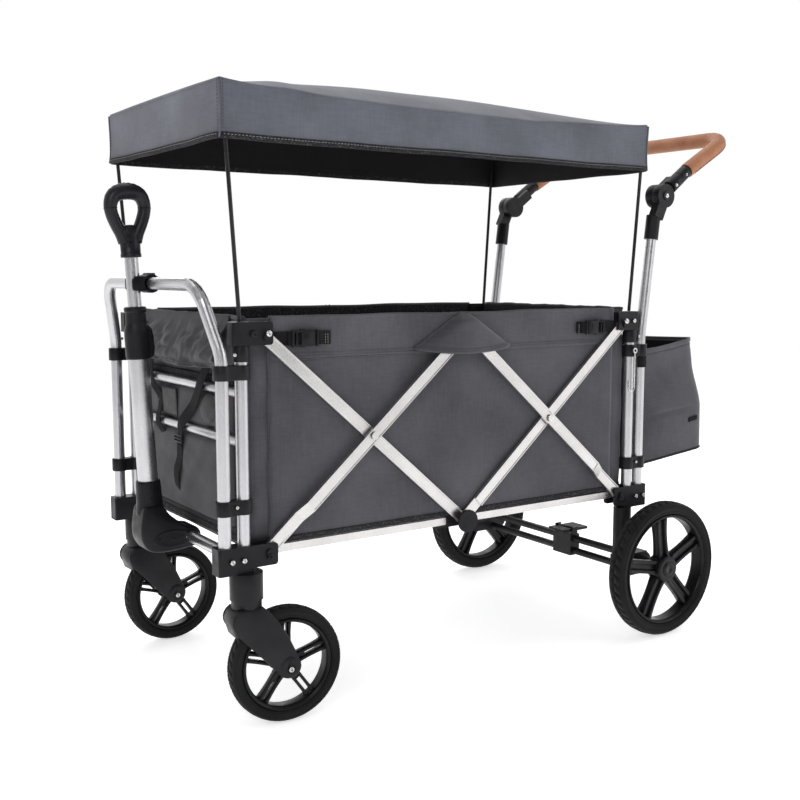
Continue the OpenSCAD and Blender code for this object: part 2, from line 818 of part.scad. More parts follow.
module push_bar() {
    l = push_line(36.05);
    color("silver") push_place()
        bent_tube([l[0], l[1], l[2], flip(l[2]), flip(l[1]), flip(l[0])],
                  [60, 55, 55, 60], tube_d, tube_wall, push_ref);
}

module push_grip() {
    l = push_line(36);
    start = l[1] + 0.12 * (l[2] - l[1]);
    color([0.7, 0.48, 0.34]) push_place()
        bent_tube([start, l[2], flip(l[2]), flip(start)], [55, 55], grip_d,
                  (grip_d - tube_d) / 2 - 0.05, push_ref);
}

module push_button() {
    color([0.15, 0.15, 0.16])
        pin_y(push_pivot_x, push_pivot_z, post_y + 12.3, post_y + 18.5, 9.6);
}
module push_button_left() mirror([0, 1, 0]) push_button();
module push_button_right() push_button();

// The rear bag: an open-topped shell that leans back from the push tubes
bag_y = 200;
bag_top = 625;
bag_reach = 313;             // rear posts to the bag's lower rear edge
bag_top_reach = 267;         // rear posts to its upper rear edge
bag_crease_z = 470;
module bag_outline(inset) {
    x0 = rear_x + push_gap + tube_r + 4 + inset;
    over = inset > 0 ? 5 : 0;
    polygon([[x0, 342 + inset], [rear_x + bag_reach - inset, 368 + inset],
             [rear_x + bag_reach - 2 - inset, bag_crease_z],
             [rear_x + bag_top_reach - inset, bag_top + over],
             [x0, bag_top - 24 + over]]);
}

module rear_bag() {
    x = rear_x + push_gap;
    color([0.33, 0.33, 0.35]) union() {
        difference() {
            plate(-bag_y, bag_y) bag_outline(0);
            plate(-bag_y + wall_t, bag_y - wall_t) bag_outline(wall_t);
        }
        pair() translate([x, 0, bag_top - 50]) linear_extrude(25) difference() {
            union() {
                translate([0, post_y]) circle(tube_r + 2.5);
                polygon([[4, post_in], [8, post_in + 2], [tube_r + 10, bag_y - 1],
                         [tube_r + 5, bag_y - 1]]);
            }
            translate([0, post_y]) circle(tube_r + slip);
        }
    }
}

// A wire hook on the near rear clip that holds the wagon folded
hook_y = post_y + tube_r + 6;
module fold_hook() {
    color("silver") mirror([0, 1, 0]) difference() {
        union() {
            bent_tube([[rear_x, hook_y, collar_z - 20], [rear_x, hook_y, collar_z - 102],
                       [rear_x - 16, hook_y, collar_z - 102],
                       [rear_x - 16, hook_y, collar_z - 82]], [6, 6], 4, 0, [0, 1, 0], 10, 4);
            pin_y(rear_x, collar_z - 17, hook_y - 2, hook_y + 2, 6);
        }
        pin_y(rear_x, collar_z - 17, hook_y - 3, hook_y + 3, 2.5 + run_gap);
    }
}

// ---- Brake ----

brake_x = rear_x + 31;
brake_z = rear_r + 33;

module brake_pedal() {
    color([0.08, 0.08, 0.09]) difference() {
        union() {
            plate(-60, -8) translate([brake_x, brake_z]) {
                circle(6);
                translate([-32, -3]) square([76, 6]);
            }
        }
        pin_y(brake_x, brake_z, -70, 0, 3 + run_gap);
    }
}

// ---- Pull handle ----

module pull_place()
    translate([pull_foot_x, 0, pull_foot_z]) rotate([0, -pull_lean, 0]) children();

module pull_base() {
    color([0.08, 0.08, 0.09]) difference() {
        union() {
            plate(-30, 30) {
                translate([front_x, pull_pivot_z]) circle(20);
                polygon([[front_x, pull_pivot_z - 20], [front_x - 78, pull_pivot_z - 24],
                         [front_x - 94, pull_pivot_z + 6], [front_x - 90, pull_pivot_z + 62],
                         [front_x - 50, pull_pivot_z + 62], [front_x, pull_pivot_z + 20]]);
            }
            pull_place() translate([0, 0, -60]) cylinder(h = 66, d = pull_outer_d + 10);
        }
        pin_y(front_x, pull_pivot_z, -31, 31, tube_r + run_gap);
        pull_place() translate([0, 0, -44]) cylinder(h = 60, d = pull_outer_d + 0.1);
    }
}

module pull_outer_tube() {
    color("silver") pull_place() translate([0, 0, -43.9]) difference() {
        cylinder(h = collar_low + 43.9, d = pull_outer_d);
        translate([0, 0, -1])
            cylinder(h = collar_low + 50, d = pull_outer_d - 2 * tube_wall);
    }
}

module pull_collar() {
    color([0.08, 0.08, 0.09]) pull_place() translate([0, 0, collar_low - 14]) difference() {
        union() {
            cylinder(h = 58, d = pull_outer_d + 8);
            cylinder(h = collar_len + 14, d = pull_outer_d + 1);
        }
        translate([0, 0, -1]) cylinder(h = 15, d = pull_outer_d + 0.1);
        cylinder(h = 200, d = pull_inner_d + 2 * slip);
    }
}

grip_low = 411;
module pull_inner_tube() {
    color("silver") pull_place() translate([0, 0, inner_low])
        linear_extrude(grip_low + 18 - inner_low) section(pull_inner_d, tube_wall);
}

module pull_grip() {
    half = loop_w / 2;
    loop_z = grip_low + 85;
    color([0.05, 0.05, 0.055]) pull_place() difference() {
        union() {
            plate(-14, 14) difference() {
                union() {
                    translate([0, loop_z]) circle(half);
                    polygon([[-17, grip_low + 20], [17, grip_low + 20], [half - 2, loop_z - 14],
                             [2 - half, loop_z - 14]]);
                }
                round_rect(23 - half, loop_z - 33, half - 23, loop_z + half - 24, 18);
            }
            translate([0, 0, grip_low]) cylinder(h = 40, d = pull_inner_d + 10);
        }
        translate([0, 0, grip_low - 1]) cylinder(h = 19.05, d = pull_inner_d + 0.1);
    }
}

front_arch();
front_posts();
front_clips();
front_brackets();
front_rungs();
caster_housings();
handle_catch();
caster_fork_left();
caster_fork_right();
front_rim_left();
front_rim_right();
front_tyre_left();
front_tyre_right();
scissor_bars_a();
scissor_bars_b();
scissor_bars_c();
scissor_bars_d();
front_rivets();
rear_rivets();
top_knuckles();
mid_knuckles();
mid_cross_tube();
floor_rails_front();
floor_board_front();
floor_rails_rear();
floor_board_rear();
front_top_brackets();
front_inner_posts();
front_hoop();
canopy_cover();
side_wall_left();
side_wall_right();
front_wall();
rear_top_brackets();
rear_inner_posts();
rear_hoop();
rear_wall();
rear_posts();
rear_clips();
rear_brackets();
rear_axle_frame();
push_tubes();
push_joints_lower();
rear_bag();
fold_hook();
rear_rim_left();
rear_rim_right();
rear_tyre_left();
rear_tyre_right();
brake_pedal();
push_joints_upper();
push_bar();
push_grip();
push_button_left();
push_button_right();
pull_base();
pull_outer_tube();
pull_collar();
pull_inner_tube();
pull_grip();
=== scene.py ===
"""Looks of a folding kids wagon: canopy, cloth tub, rear bag, wheels, handles and finishes."""
import math

import bmesh
import bpy
from mathutils import Matrix, Vector

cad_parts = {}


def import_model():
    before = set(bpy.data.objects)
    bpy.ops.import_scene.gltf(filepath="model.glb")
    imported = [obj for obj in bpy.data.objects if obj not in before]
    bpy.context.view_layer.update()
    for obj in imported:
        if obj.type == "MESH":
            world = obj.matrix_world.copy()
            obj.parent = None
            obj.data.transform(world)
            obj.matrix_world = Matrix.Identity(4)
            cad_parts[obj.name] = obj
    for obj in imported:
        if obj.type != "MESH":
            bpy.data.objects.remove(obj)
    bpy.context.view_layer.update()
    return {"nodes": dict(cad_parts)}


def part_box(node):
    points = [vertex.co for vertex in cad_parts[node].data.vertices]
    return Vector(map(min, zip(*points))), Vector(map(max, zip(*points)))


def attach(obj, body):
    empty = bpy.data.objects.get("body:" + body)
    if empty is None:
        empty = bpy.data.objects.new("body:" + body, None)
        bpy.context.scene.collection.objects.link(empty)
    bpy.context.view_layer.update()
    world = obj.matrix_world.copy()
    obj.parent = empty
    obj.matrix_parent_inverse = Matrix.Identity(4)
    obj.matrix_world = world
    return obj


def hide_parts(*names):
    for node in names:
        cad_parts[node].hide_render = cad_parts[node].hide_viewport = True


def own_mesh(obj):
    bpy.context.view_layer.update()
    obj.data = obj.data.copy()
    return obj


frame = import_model()
NODES = frame["nodes"]
PI = math.pi


def lerp(a, b, t):
    return a + (b - a) * t


def clamp(x):
    return max(0.0, min(1.0, x))


def smooth(t):
    t = clamp(t)
    return t * t * (3 - 2 * t)


# ---------------------------------------------------------------- materials

def srgb(r, g, b):
    """An 8-bit display colour as linear RGBA."""
    def lin(c):
        c /= 255
        return c / 12.92 if c <= 0.04045 else ((c + 0.055) / 1.055) ** 2.4
    return (lin(r), lin(g), lin(b), 1.0)


class Mat:
    """A node material with short calls for the nodes used here."""

    def __init__(self, name):
        self.m = bpy.data.materials.new(name)
        self.m.use_nodes = True
        self.t = self.m.node_tree
        self.b = self.t.nodes["Principled BSDF"]
        self.co = self.new("ShaderNodeTexCoord").outputs["Object"]

    def new(self, kind, **props):
        n = self.t.nodes.new(kind)
        for k, v in props.items():
            setattr(n, k, v)
        return n

    def set(self, **values):
        names = {"metal": "Metallic", "spec": "Specular IOR Level", "sheen": "Sheen Weight",
                 "sheen_rough": "Sheen Roughness", "coat": "Coat Weight",
                 "coat_rough": "Coat Roughness"}
        for k, v in values.items():
            self.b.inputs[names[k]].default_value = v
        return self

    def link(self, a, b):
        self.t.links.new(a, b)

    def scaled(self, scale, rotation=(0, 0, 0)):
        n = self.new("ShaderNodeMapping")
        n.inputs["Scale"].default_value = scale
        n.inputs["Rotation"].default_value = rotation
        self.link(self.co, n.inputs["Vector"])
        return n.outputs["Vector"]

    def noise(self, scale, detail, vector=None):
        n = self.new("ShaderNodeTexNoise")
        n.inputs["Scale"].default_value = scale
        n.inputs["Detail"].default_value = detail
        self.link(vector or self.co, n.inputs["Vector"])
        return n.outputs["Fac"]

    def cells(self, scale):
        """Distance to the edges of small cells, as in grained leather."""
        n = self.new("ShaderNodeTexVoronoi", feature="DISTANCE_TO_EDGE")
        n.inputs["Scale"].default_value = scale
        self.link(self.co, n.inputs["Vector"])
        return n.outputs["Distance"]

    def wave(self, scale, axis, distortion, vector=None):
        n = self.new("ShaderNodeTexWave", wave_type="BANDS", bands_direction=axis)
        n.inputs["Scale"].default_value = scale
        n.inputs["Distortion"].default_value = distortion
        n.inputs["Detail"].default_value = 1
        self.link(vector or self.co, n.inputs["Vector"])
        return n.outputs["Fac"]

    def ramp(self, fac, stops):
        n = self.new("ShaderNodeValToRGB")
        r = n.color_ramp
        while len(r.elements) < len(stops):
            r.elements.new(0.5)
        for e, (p, c) in zip(r.elements, stops):
            e.position = p
            e.color = (*c, 1)
        self.link(fac, n.inputs["Fac"])
        return n.outputs["Color"]

    def math(self, op, a, b):
        n = self.new("ShaderNodeMath", operation=op)
        for s, v in zip(n.inputs, (a, b)):
            if isinstance(v, (int, float)):
                s.default_value = v
            else:
                self.link(v, s)
        return n.outputs["Value"]

    def map(self, fac, lo, hi, from_lo=0.0, from_hi=1.0):
        n = self.new("ShaderNodeMapRange")
        for k, v in (("From Min", from_lo), ("From Max", from_hi), ("To Min", lo), ("To Max", hi)):
            n.inputs[k].default_value = v
        self.link(fac, n.inputs["Value"])
        return n.outputs["Result"]

    def mix(self, fac, a, b):
        n = self.new("ShaderNodeMix", data_type="RGBA")
        self.link(fac, n.inputs["Factor"])
        for s, v in ((n.inputs[6], a), (n.inputs[7], b)):
            if isinstance(v, tuple):
                s.default_value = v
            else:
                self.link(v, s)
        return n.outputs[2]

    def bumps(self, *layers):
        """Each layer is (height, strength, distance); they stack on the shader's normal."""
        last = None
        for height, strength, distance in layers:
            n = self.new("ShaderNodeBump")
            n.inputs["Strength"].default_value = strength
            n.inputs["Distance"].default_value = distance
            self.link(height, n.inputs["Height"])
            if last:
                self.link(last, n.inputs["Normal"])
            last = n.outputs["Normal"]
        self.link(last, self.b.inputs["Normal"])
        return self

    def shade(self, fac, lo, hi, dark, light):
        """Base colour from dark to light while fac goes from lo to hi."""
        self.to("Base Color", self.mix(self.map(fac, 0, 1, lo, hi), dark, light))

    def total(self, *terms):
        """The sum of (value, weight) terms."""
        out = None
        for value, weight in terms:
            part = self.math("MULTIPLY", value, weight)
            out = part if out is None else self.math("ADD", out, part)
        return out

    def to(self, socket, value):
        self.link(value, self.b.inputs[socket])
        return self


THREAD_PITCH = 0.0011


def weave_height(m, pitch):
    """Over-and-under threads along all three axes, so that any flat side shows two of them."""
    k = 1 / (pitch * 6.2832) * PI
    x, y, z = (m.wave(k * 2, a, 0.6) for a in "XYZ")
    return m.total((y, z), (x, y), (x, z))


def cloth(name, dark, light, rough=0.86, fold=0.35, sheen=0.25):
    """Coated oxford cloth: thread weave, slubs, soft creases and dusty sheen."""
    m = Mat(name).set(sheen=sheen, sheen_rough=0.45, spec=0.3)
    weave = weave_height(m, THREAD_PITCH)
    slub = m.noise(260, 3, m.scaled((1, 1, 0.12)))
    slub2 = m.noise(300, 3, m.scaled((0.12, 0.12, 1)))
    blot = m.noise(5.5, 4)
    threads = m.total((slub, 0.5), (slub2, 0.5))
    tone = m.total((threads, 0.30), (blot, 0.60), (weave, 0.02))
    m.shade(tone, 0.32, 0.62, dark, light)
    m.to("Roughness", m.map(blot, rough - 0.06, rough + 0.06))
    crease = m.noise(9, 2, m.scaled((1, 1, 1.6), (0.3, 0.5, 0.2)))
    return m.bumps((crease, fold, 0.012), (weave, 0.06, 0.0003), (threads, 0.14, 0.0005))


def plastic(name, color, light, rough, grain=0.25):
    """Moulded plastic: fine spark-eroded grain, faint flow marks, slightly rubbed."""
    m = Mat(name).set(spec=0.20)
    fine = m.noise(900, 2)
    broad = m.noise(14, 3)
    m.shade(broad, 0.35, 0.7, color, light)
    m.to("Roughness", m.map(m.noise(60, 4), rough - 0.08, rough + 0.10, 0.3, 0.7))
    return m.bumps((fine, grain, 0.0003), (broad, 0.05, 0.002))


def metal(name, dark, light, rough, speckle, scale=650, along="Z"):
    """Satin metal: anodised speckle, and drawing marks along one axis."""
    m = Mat(name).set(metal=1.0)
    s = {"X": (0.04, 1, 1), "Y": (1, 0.04, 1), "Z": (1, 1, 0.04)}[along]
    grain = m.noise(scale, 3)
    drawn = m.noise(420, 2, m.scaled(s))
    cloud = m.noise(12, 3)
    tone = m.total((grain, 0.55), (cloud, 0.45))
    m.shade(tone, 0.34, 0.66, dark, light)
    m.to("Roughness", m.map(grain, rough - 0.07, rough + 0.12, 0.3, 0.7))
    return m.bumps((grain, speckle, 0.0005), (drawn, 0.05, 0.0004))


GREY_DARK, GREY_LIGHT = srgb(66, 66, 71), srgb(92, 91, 97)
M = {}
M["canopy"] = cloth("canopy_oxford", srgb(86, 88, 97), srgb(113, 116, 126), fold=0.25)
M["body"] = cloth("body_oxford", GREY_DARK, GREY_LIGHT, fold=0.3)
# A darker copy of the body's oxford cloth for the front flap and pocket: painted shade on the front of
# the wagon.
M["front_cloth"] = cloth("front_oxford_painted_shade", srgb(50, 50, 54), srgb(72, 71, 76), fold=0.4)
M["lining"] = cloth("black_lining", srgb(17, 17, 19), srgb(30, 30, 33), rough=0.8, fold=0.3,
                    sheen=0.05)
M["plastic"] = plastic("black_moulded", (0.007, 0.007, 0.0085, 1), (0.014, 0.014, 0.017, 1), 0.40)
M["fork"] = plastic("caster_nylon", (0.010, 0.009, 0.011, 1), (0.019, 0.018, 0.020, 1), 0.36)
M["handle"] = plastic("handle_nylon", (0.012, 0.012, 0.016, 1), (0.024, 0.024, 0.031, 1), 0.34)
M["rim"] = plastic("rim_nylon", (0.006, 0.006, 0.007, 1), (0.012, 0.012, 0.014, 1), 0.32, 0.15)
M["alu"] = metal("satin_aluminium", srgb(186, 185, 189), srgb(214, 213, 216), 0.31, 0.07)
M["alu_bar"] = metal("pressed_aluminium", srgb(196, 193, 193), srgb(226, 223, 222), 0.30, 0.06,
                     along="X")
M["alu_cross"] = metal("drawn_aluminium_cross", srgb(188, 187, 190), srgb(216, 215, 218), 0.30, 0.07,
                       along="Y")
M["zinc"] = metal("zinc_bolt", srgb(190, 190, 188), srgb(228, 228, 226), 0.22, 0.1, 300)
M["rod"] = plastic("coated_rod", (0.014, 0.014, 0.015, 1), (0.028, 0.028, 0.030, 1), 0.3, 0.1)


def rubber():
    m = Mat("tyre_rubber").set(spec=0.15, sheen=0.04, sheen_rough=0.4)
    dust = m.noise(22, 5)
    fine = m.noise(700, 3)
    m.shade(dust, 0.35, 0.72, (0.0085, 0.0085, 0.009, 1),
                             (0.020, 0.019, 0.020, 1))
    m.to("Roughness", m.map(dust, 0.62, 0.85, 0.3, 0.7))
    return m.bumps((fine, 0.35, 0.0005), (dust, 0.08, 0.001))


def webbing():
    """Black polypropylene webbing with ribs across it."""
    m = Mat("black_webbing").set(sheen=0.03, sheen_rough=0.5, spec=0.12)
    ribs = m.math("ADD", m.wave(620, "X", 0.8), m.math("ADD", m.wave(620, "Y", 0.8),
                                                      m.wave(620, "Z", 0.8)))
    fine = m.noise(500, 2)
    m.shade(fine, 0.3, 0.75, (0.006, 0.006, 0.007, 1),
                             (0.017, 0.017, 0.019, 1))
    m.to("Roughness", m.map(fine, 0.7, 0.9))
    return m.bumps((ribs, 0.4, 0.0006), (fine, 0.2, 0.0004))


def binding():
    """Folded edge tape with pale flecks of the sewing thread."""
    m = Mat("edge_binding").set(sheen=0.04, sheen_rough=0.5, spec=0.15)
    fleck = m.noise(420, 3)
    m.to("Base Color", m.ramp(fleck, [(0.0, (0.010, 0.010, 0.011)), (0.56, (0.022, 0.022, 0.025)),
                                      (0.68, (0.10, 0.10, 0.10))]))
    m.to("Roughness", m.map(fleck, 0.75, 0.9))
    return m.bumps((m.wave(500, "X", 0.6), 0.35, 0.0006), (fleck, 0.35, 0.0006))


def thread(name, color):
    m = Mat(name).set(spec=0.2, sheen=0.3)
    f = m.noise(900, 2)
    m.to("Base Color", m.mix(f, tuple(c * 0.75 for c in color[:3]) + (1,), color))
    m.to("Roughness", m.map(f, 0.7, 0.9))
    return m.bumps((f, 0.3, 0.0003))


def leather():
    m = Mat("tan_leather").set(spec=0.4, coat=0.06, coat_rough=0.4)
    cells = m.cells(620)
    big = m.noise(26, 4)
    fine = m.noise(380, 3)
    tone = m.total((big, 0.6), (fine, 0.4))
    m.shade(tone, 0.34, 0.68, srgb(158, 101, 68),
                             srgb(190, 131, 95))
    m.to("Roughness", m.map(fine, 0.46, 0.66, 0.3, 0.7))
    return m.bumps((cells, 0.35, 0.0006), (fine, 0.2, 0.0005))


def net():
    """Grey ripstop pouch cloth with a small diamond relief."""
    m = Mat("pouch_cloth").set(sheen=0.15, spec=0.35)
    a = m.wave(300, "Y", 0.3, m.scaled((1, 1, 1), (0.785, 0, 0)))
    b = m.wave(300, "Z", 0.3, m.scaled((1, 1, 1), (0.785, 0, 0)))
    n = m.noise(60, 3)
    h = m.math("MULTIPLY", a, b)
    m.shade(n, 0.3, 0.7, srgb(44, 43, 45), srgb(70, 69, 71))
    m.to("Roughness", m.map(n, 0.6, 0.8))
    return m.bumps((h, 0.5, 0.0008), (n, 0.3, 0.002))


M["rubber"] = rubber()
M["webbing"] = webbing()
M["binding"] = binding()
M["thread_grey"] = thread("thread_grey", srgb(60, 61, 66))
M["thread_pale"] = thread("thread_pale", srgb(175, 174, 170))
M["thread_tan"] = thread("thread_tan", srgb(128, 78, 50))
M["leather"] = leather()
M["pouch"] = net()
M["mat_cloth"] = cloth("floor_mat_cloth", srgb(40, 40, 43), srgb(58, 58, 62), rough=0.88)


# ---------------------------------------------------------------- mesh tools

def obj(name, mesh, mats, body=None, slot=None, out=None):
    """An object from (verts, faces). out is a direction, or a point inside in a list, that says
    which way its faces look."""
    verts, faces = mesh
    me = bpy.data.meshes.new(name)
    me.from_pydata([tuple(v) for v in verts], [], [tuple(f) for f in faces])
    for m in mats if isinstance(mats, (list, tuple)) else [mats]:
        me.materials.append(M[m].m)
    me.validate()
    bm = bmesh.new()
    bm.from_mesh(me)
    bmesh.ops.recalc_face_normals(bm, faces=bm.faces)
    if out is not None:
        total = 0.0
        for face in bm.faces:
            way = face.calc_center_median() - Vector(out[0]) if len(out) == 1 else Vector(out)
            total += face.normal.dot(way.normalized()) * face.calc_area()
        if total < 0:
            bmesh.ops.reverse_faces(bm, faces=bm.faces)
    bm.to_mesh(me)
    bm.free()
    me.polygons.foreach_set("use_smooth", [True] * len(me.polygons))
    o = bpy.data.objects.new(name, me)
    bpy.context.scene.collection.objects.link(o)
    if body:
        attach(o, body)
    return o


def grid(fn, nu, nv, close_u=False):
    """Vertices and faces of a sheet fn(u, v), u and v from 0 to 1."""
    cols = nu if close_u else nu + 1
    verts = [fn(i / nu, j / nv) for j in range(nv + 1) for i in range(cols)]
    faces = [(j * cols + i, j * cols + (i + 1) % cols, (j + 1) * cols + (i + 1) % cols,
              (j + 1) * cols + i) for j in range(nv) for i in range(nu)]
    return verts, faces


def frames(path, up, closed=False):
    """Points of a path with their direction and two directions across it."""
    out, last = [], len(path) - 1
    for i, p in enumerate(path):
        a, b = path[max(0, i - 1)], path[min(last, i + 1)]
        if closed:
            a, b = path[i - 1], path[(i + 1) % len(path)]
        d = (Vector(b) - Vector(a)).normalized()
        s = d.cross(Vector(up)).normalized()
        out.append((Vector(p), d, s, s.cross(d).normalized()))
    return out


def sweep(path, section, up=(0, 0, 1), closed=False, scale=None):
    """A section of (across, up) points carried along a path, with ends unless it is closed."""
    fr = frames(path, up, closed)
    k = len(section)
    verts = []
    for i, (p, d, s, u) in enumerate(fr):
        f = scale(i / max(1, len(fr) - 1)) if scale else 1.0
        verts += [p + s * (a * f) + u * (b * f) for a, b in section]
    n = len(fr)
    faces = []
    for i in range(n if closed else n - 1):
        j = (i + 1) % n
        faces += [(i * k + q, i * k + (q + 1) % k, j * k + (q + 1) % k, j * k + q)
                  for q in range(k)]
    if not closed:
        faces += [tuple(range(k))[::-1], tuple((n - 1) * k + q for q in range(k))]
    return verts, faces


def turns(n):
    """Equal angles of one full turn."""
    return [2 * PI * i / n for i in range(n)]


def ring(r, n, ry=None):
    return [(r * math.cos(a), (ry or r) * math.sin(a)) for a in turns(n)]


def loft(rings):
    """Closed rings of equal length joined into a closed skin."""
    n = len(rings[0])
    verts = [p for r in rings for p in r]
    faces = [(i * n + q, i * n + (q + 1) % n, (i + 1) * n + (q + 1) % n, (i + 1) * n + q)
             for i in range(len(rings) - 1) for q in range(n)]
    faces += [tuple(range(n))[::-1], tuple((len(rings) - 1) * n + q for q in range(n))]
    return verts, faces


def border(cols, rows):
    """Indices round the edge of a grid of points."""
    return (list(range(cols)) + [j * cols + cols - 1 for j in range(1, rows)]
            + [(rows - 1) * cols + i for i in range(cols - 2, -1, -1)]
            + [j * cols for j in range(rows - 2, 0, -1)])


def slab(w, t, r=None):
    """A flat strap section: w across, t thick, with round corners."""
    r = r or min(w, t) * 0.45
    n = 3
    pts = []
    for cx, cy, a0 in ((w / 2 - r, t / 2 - r, 0), (-w / 2 + r, t / 2 - r, PI / 2),
                       (-w / 2 + r, -t / 2 + r, PI), (w / 2 - r, -t / 2 + r, 1.5 * PI)):
        pts += [(cx + r * math.cos(a0 + PI / 2 * i / n), cy + r * math.sin(a0 + PI / 2 * i / n))
                for i in range(n + 1)]
    return pts


def join(parts):
    """Several (verts, faces) lists as one."""
    verts, faces = [], []
    for v, f in parts:
        o = len(verts)
        verts += list(v)
        faces += [tuple(i + o for i in q) for q in f]
    return verts, faces


def lathe(profile, n, place):
    """A closed (radius, along) profile turned about local Y. place maps local to the row frame."""
    k = len(profile)
    verts = [place(Vector((r * math.cos(2 * PI * i / n), y, r * math.sin(2 * PI * i / n))))
             for i in range(n) for r, y in profile]
    faces = []
    for i in range(n):
        j = (i + 1) % n
        for q in range(k):
            p = (q + 1) % k
            faces.append((i * k + q, i * k + p, j * k + p, j * k + q))
    return verts, faces


def arc_profile(points, n):
    """Straight lines between points with each inner corner rounded."""
    out = [Vector((*points[0], 0))]
    for a, b, c in zip(points, points[1:], points[2:]):
        a, b, c = Vector((*a, 0)), Vector((*b, 0)), Vector((*c, 0))
        r = min((b - a).length, (c - b).length) * 0.42
        p, q = b + (a - b).normalized() * r, b + (c - b).normalized() * r
        out += [p * (1 - t) ** 2 + b * (2 * t * (1 - t)) + q * t * t
                for t in [k / n for k in range(n + 1)]]
    out.append(Vector((*points[-1], 0)))
    return [(v.x, v.y) for v in out]


def turned(points, steps, n, place):
    """A closed profile with rounded corners turned about local Y."""
    return lathe(arc_profile(points, steps), n, place)


def block(centre, size, r, seg=2):
    """A box with round edges, as (verts, faces)."""
    bm = bmesh.new()
    bmesh.ops.create_cube(bm, size=1)
    bmesh.ops.scale(bm, vec=size, verts=bm.verts)
    bmesh.ops.bevel(bm, geom=bm.edges[:], offset=r, segments=seg, affect="EDGES", profile=0.5)
    verts = [Vector(centre) + v.co for v in bm.verts]
    faces = [[v.index for v in f.verts] for f in bm.faces]
    bm.free()
    return verts, faces


def outline_plate(outline, place, thick, r):
    """A plate of any outline with a soft edge on both faces. place(a, b, c): c is through it."""
    n = len(outline)
    cx = sum(p[0] for p in outline) / n
    cy = sum(p[1] for p in outline) / n
    layers = [(-thick / 2, r), (-thick / 2 + r * 0.3, r * 0.3), (-thick / 2 + r, 0),
              (thick / 2 - r, 0), (thick / 2 - r * 0.3, r * 0.3), (thick / 2, r)]
    verts = []
    for c, inset in layers:
        for a, b in outline:
            d = math.hypot(a - cx, b - cy) or 1
            verts.append(place(a - (a - cx) / d * inset, b - (b - cy) / d * inset, c))
    faces = [(k * n + i, k * n + (i + 1) % n, (k + 1) * n + (i + 1) % n, (k + 1) * n + i)
             for k in range(len(layers) - 1) for i in range(n)]
    faces += [tuple(range(n))[::-1], tuple((len(layers) - 1) * n + i for i in range(n))]
    return verts, faces


def stitches(name, path, normal, mat, body, length=0.0035, gap=0.0022, width=0.0009):
    """Single thread stitches lying along a path. normal(point) says which way is out."""
    lift = 0.0003
    parts = []
    step = length + gap
    pts = [Vector(p) for p in path]
    total = sum((b - a).length for a, b in zip(pts, pts[1:]))
    marks = [gap / 2 + i * step for i in range(int(total / step))]
    for s in marks:
        ends = []
        for at in (s, s + length / 2, s + length):
            k, d = 0, at
            while k < len(pts) - 2 and d > (pts[k + 1] - pts[k]).length:
                d -= (pts[k + 1] - pts[k]).length
                k += 1
            u = (pts[k + 1] - pts[k]).normalized()
            ends.append(pts[k] + u * d)
        n = Vector(normal(ends[1])).normalized() if callable(normal) else Vector(normal)
        line = [ends[0] + n * (lift * 0.2), ends[1] + n * (lift + width * 0.5),
                ends[2] + n * (lift * 0.2)]
        parts.append(sweep(line, ring(width / 2, 5), up=n))
    return obj(name, join(parts), mat, body)


def resample(path, step):
    pts = [Vector(p) for p in path]
    out, carry = [pts[0]], 0.0
    for a, b in zip(pts, pts[1:]):
        length = (b - a).length
        s = step - carry
        while s <= length:
            out.append(a + (b - a) * (s / length))
            s += step
        carry = (carry + length) % step if length else carry
    out.append(pts[-1])
    return out


def modify(o, kind, **props):
    m = o.modifiers.new(kind.lower(), kind)
    for k, v in props.items():
        setattr(m, k, v)


def thicken(o, thickness, lined=False, offset=0):
    """Gives a sheet its thickness. A lined one shows its second material inside."""
    modify(o, "SOLIDIFY", thickness=thickness, offset=offset, material_offset=int(lined))


def gather(o):
    """Gives a piece its own copy of its mesh data."""
    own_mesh(o)


def wobble(x, y, z=0.0, seed=0.0):
    """A smooth value from -1 to 1 that repeats exactly on each run."""
    return (math.sin(x * 3.1 + y * 1.7 + seed) + math.sin(x * -1.3 + y * 4.3 + z * 2.1 + seed * 1.7)
            + 0.6 * math.sin(x * 6.7 + y * 5.1 - z * 3.3 + seed * 0.6)) / 2.6


# ---------------------------------------------------------------- CAD nodes keep their shape

FINISH = {
    "alu": "front_arch front_posts front_inner_posts rear_inner_posts rear_posts push_tubes "
           "push_bar pull_outer_tube pull_inner_tube",
    "alu_cross": "front_rungs mid_cross_tube",
    "alu_bar": "scissor_bars_a scissor_bars_b scissor_bars_c scissor_bars_d floor_rails_front "
               "floor_rails_rear",
    "zinc": "front_rivets rear_rivets fold_hook",
    "plastic": "front_clips rear_clips front_brackets rear_brackets front_top_brackets "
               "rear_top_brackets handle_catch top_knuckles mid_knuckles push_joints_lower "
               "push_joints_upper pull_collar pull_base brake_pedal",
    "fork": "caster_housings caster_fork_left caster_fork_right rear_axle_frame",
    "handle": "pull_grip push_button_left push_button_right",
    "rim": "front_rim_left front_rim_right rear_rim_left rear_rim_right",
    "rubber": "front_tyre_left front_tyre_right rear_tyre_left rear_tyre_right",
    "rod": "front_hoop rear_hoop",
    "body": "side_wall_left side_wall_right front_wall rear_wall rear_bag",
    "canopy": "canopy_cover",
    "mat_cloth": "floor_board_front floor_board_rear",
    "leather": "push_grip",
}
EDGES = {
    0.0022: "scissor_bars_a scissor_bars_b scissor_bars_c scissor_bars_d",
    0.0018: "front_brackets rear_brackets front_top_brackets rear_top_brackets handle_catch "
            "push_joints_lower push_joints_upper caster_housings mid_knuckles",
    0.0011: "front_clips rear_clips top_knuckles brake_pedal rear_axle_frame floor_rails_front "
            "floor_rails_rear",
}
for key, names in FINISH.items():
    for node in names.split():
        NODES[node].data.materials[0] = M[key].m
for width, names in EDGES.items():
    for node in names.split():
        modify(NODES[node], "WELD", merge_threshold=0.00003)
        modify(NODES[node], "BEVEL", width=width, segments=2, limit_method="ANGLE", angle_limit=0.6,
               harden_normals=False)

# ---------------------------------------------------------------- camera, light, floor

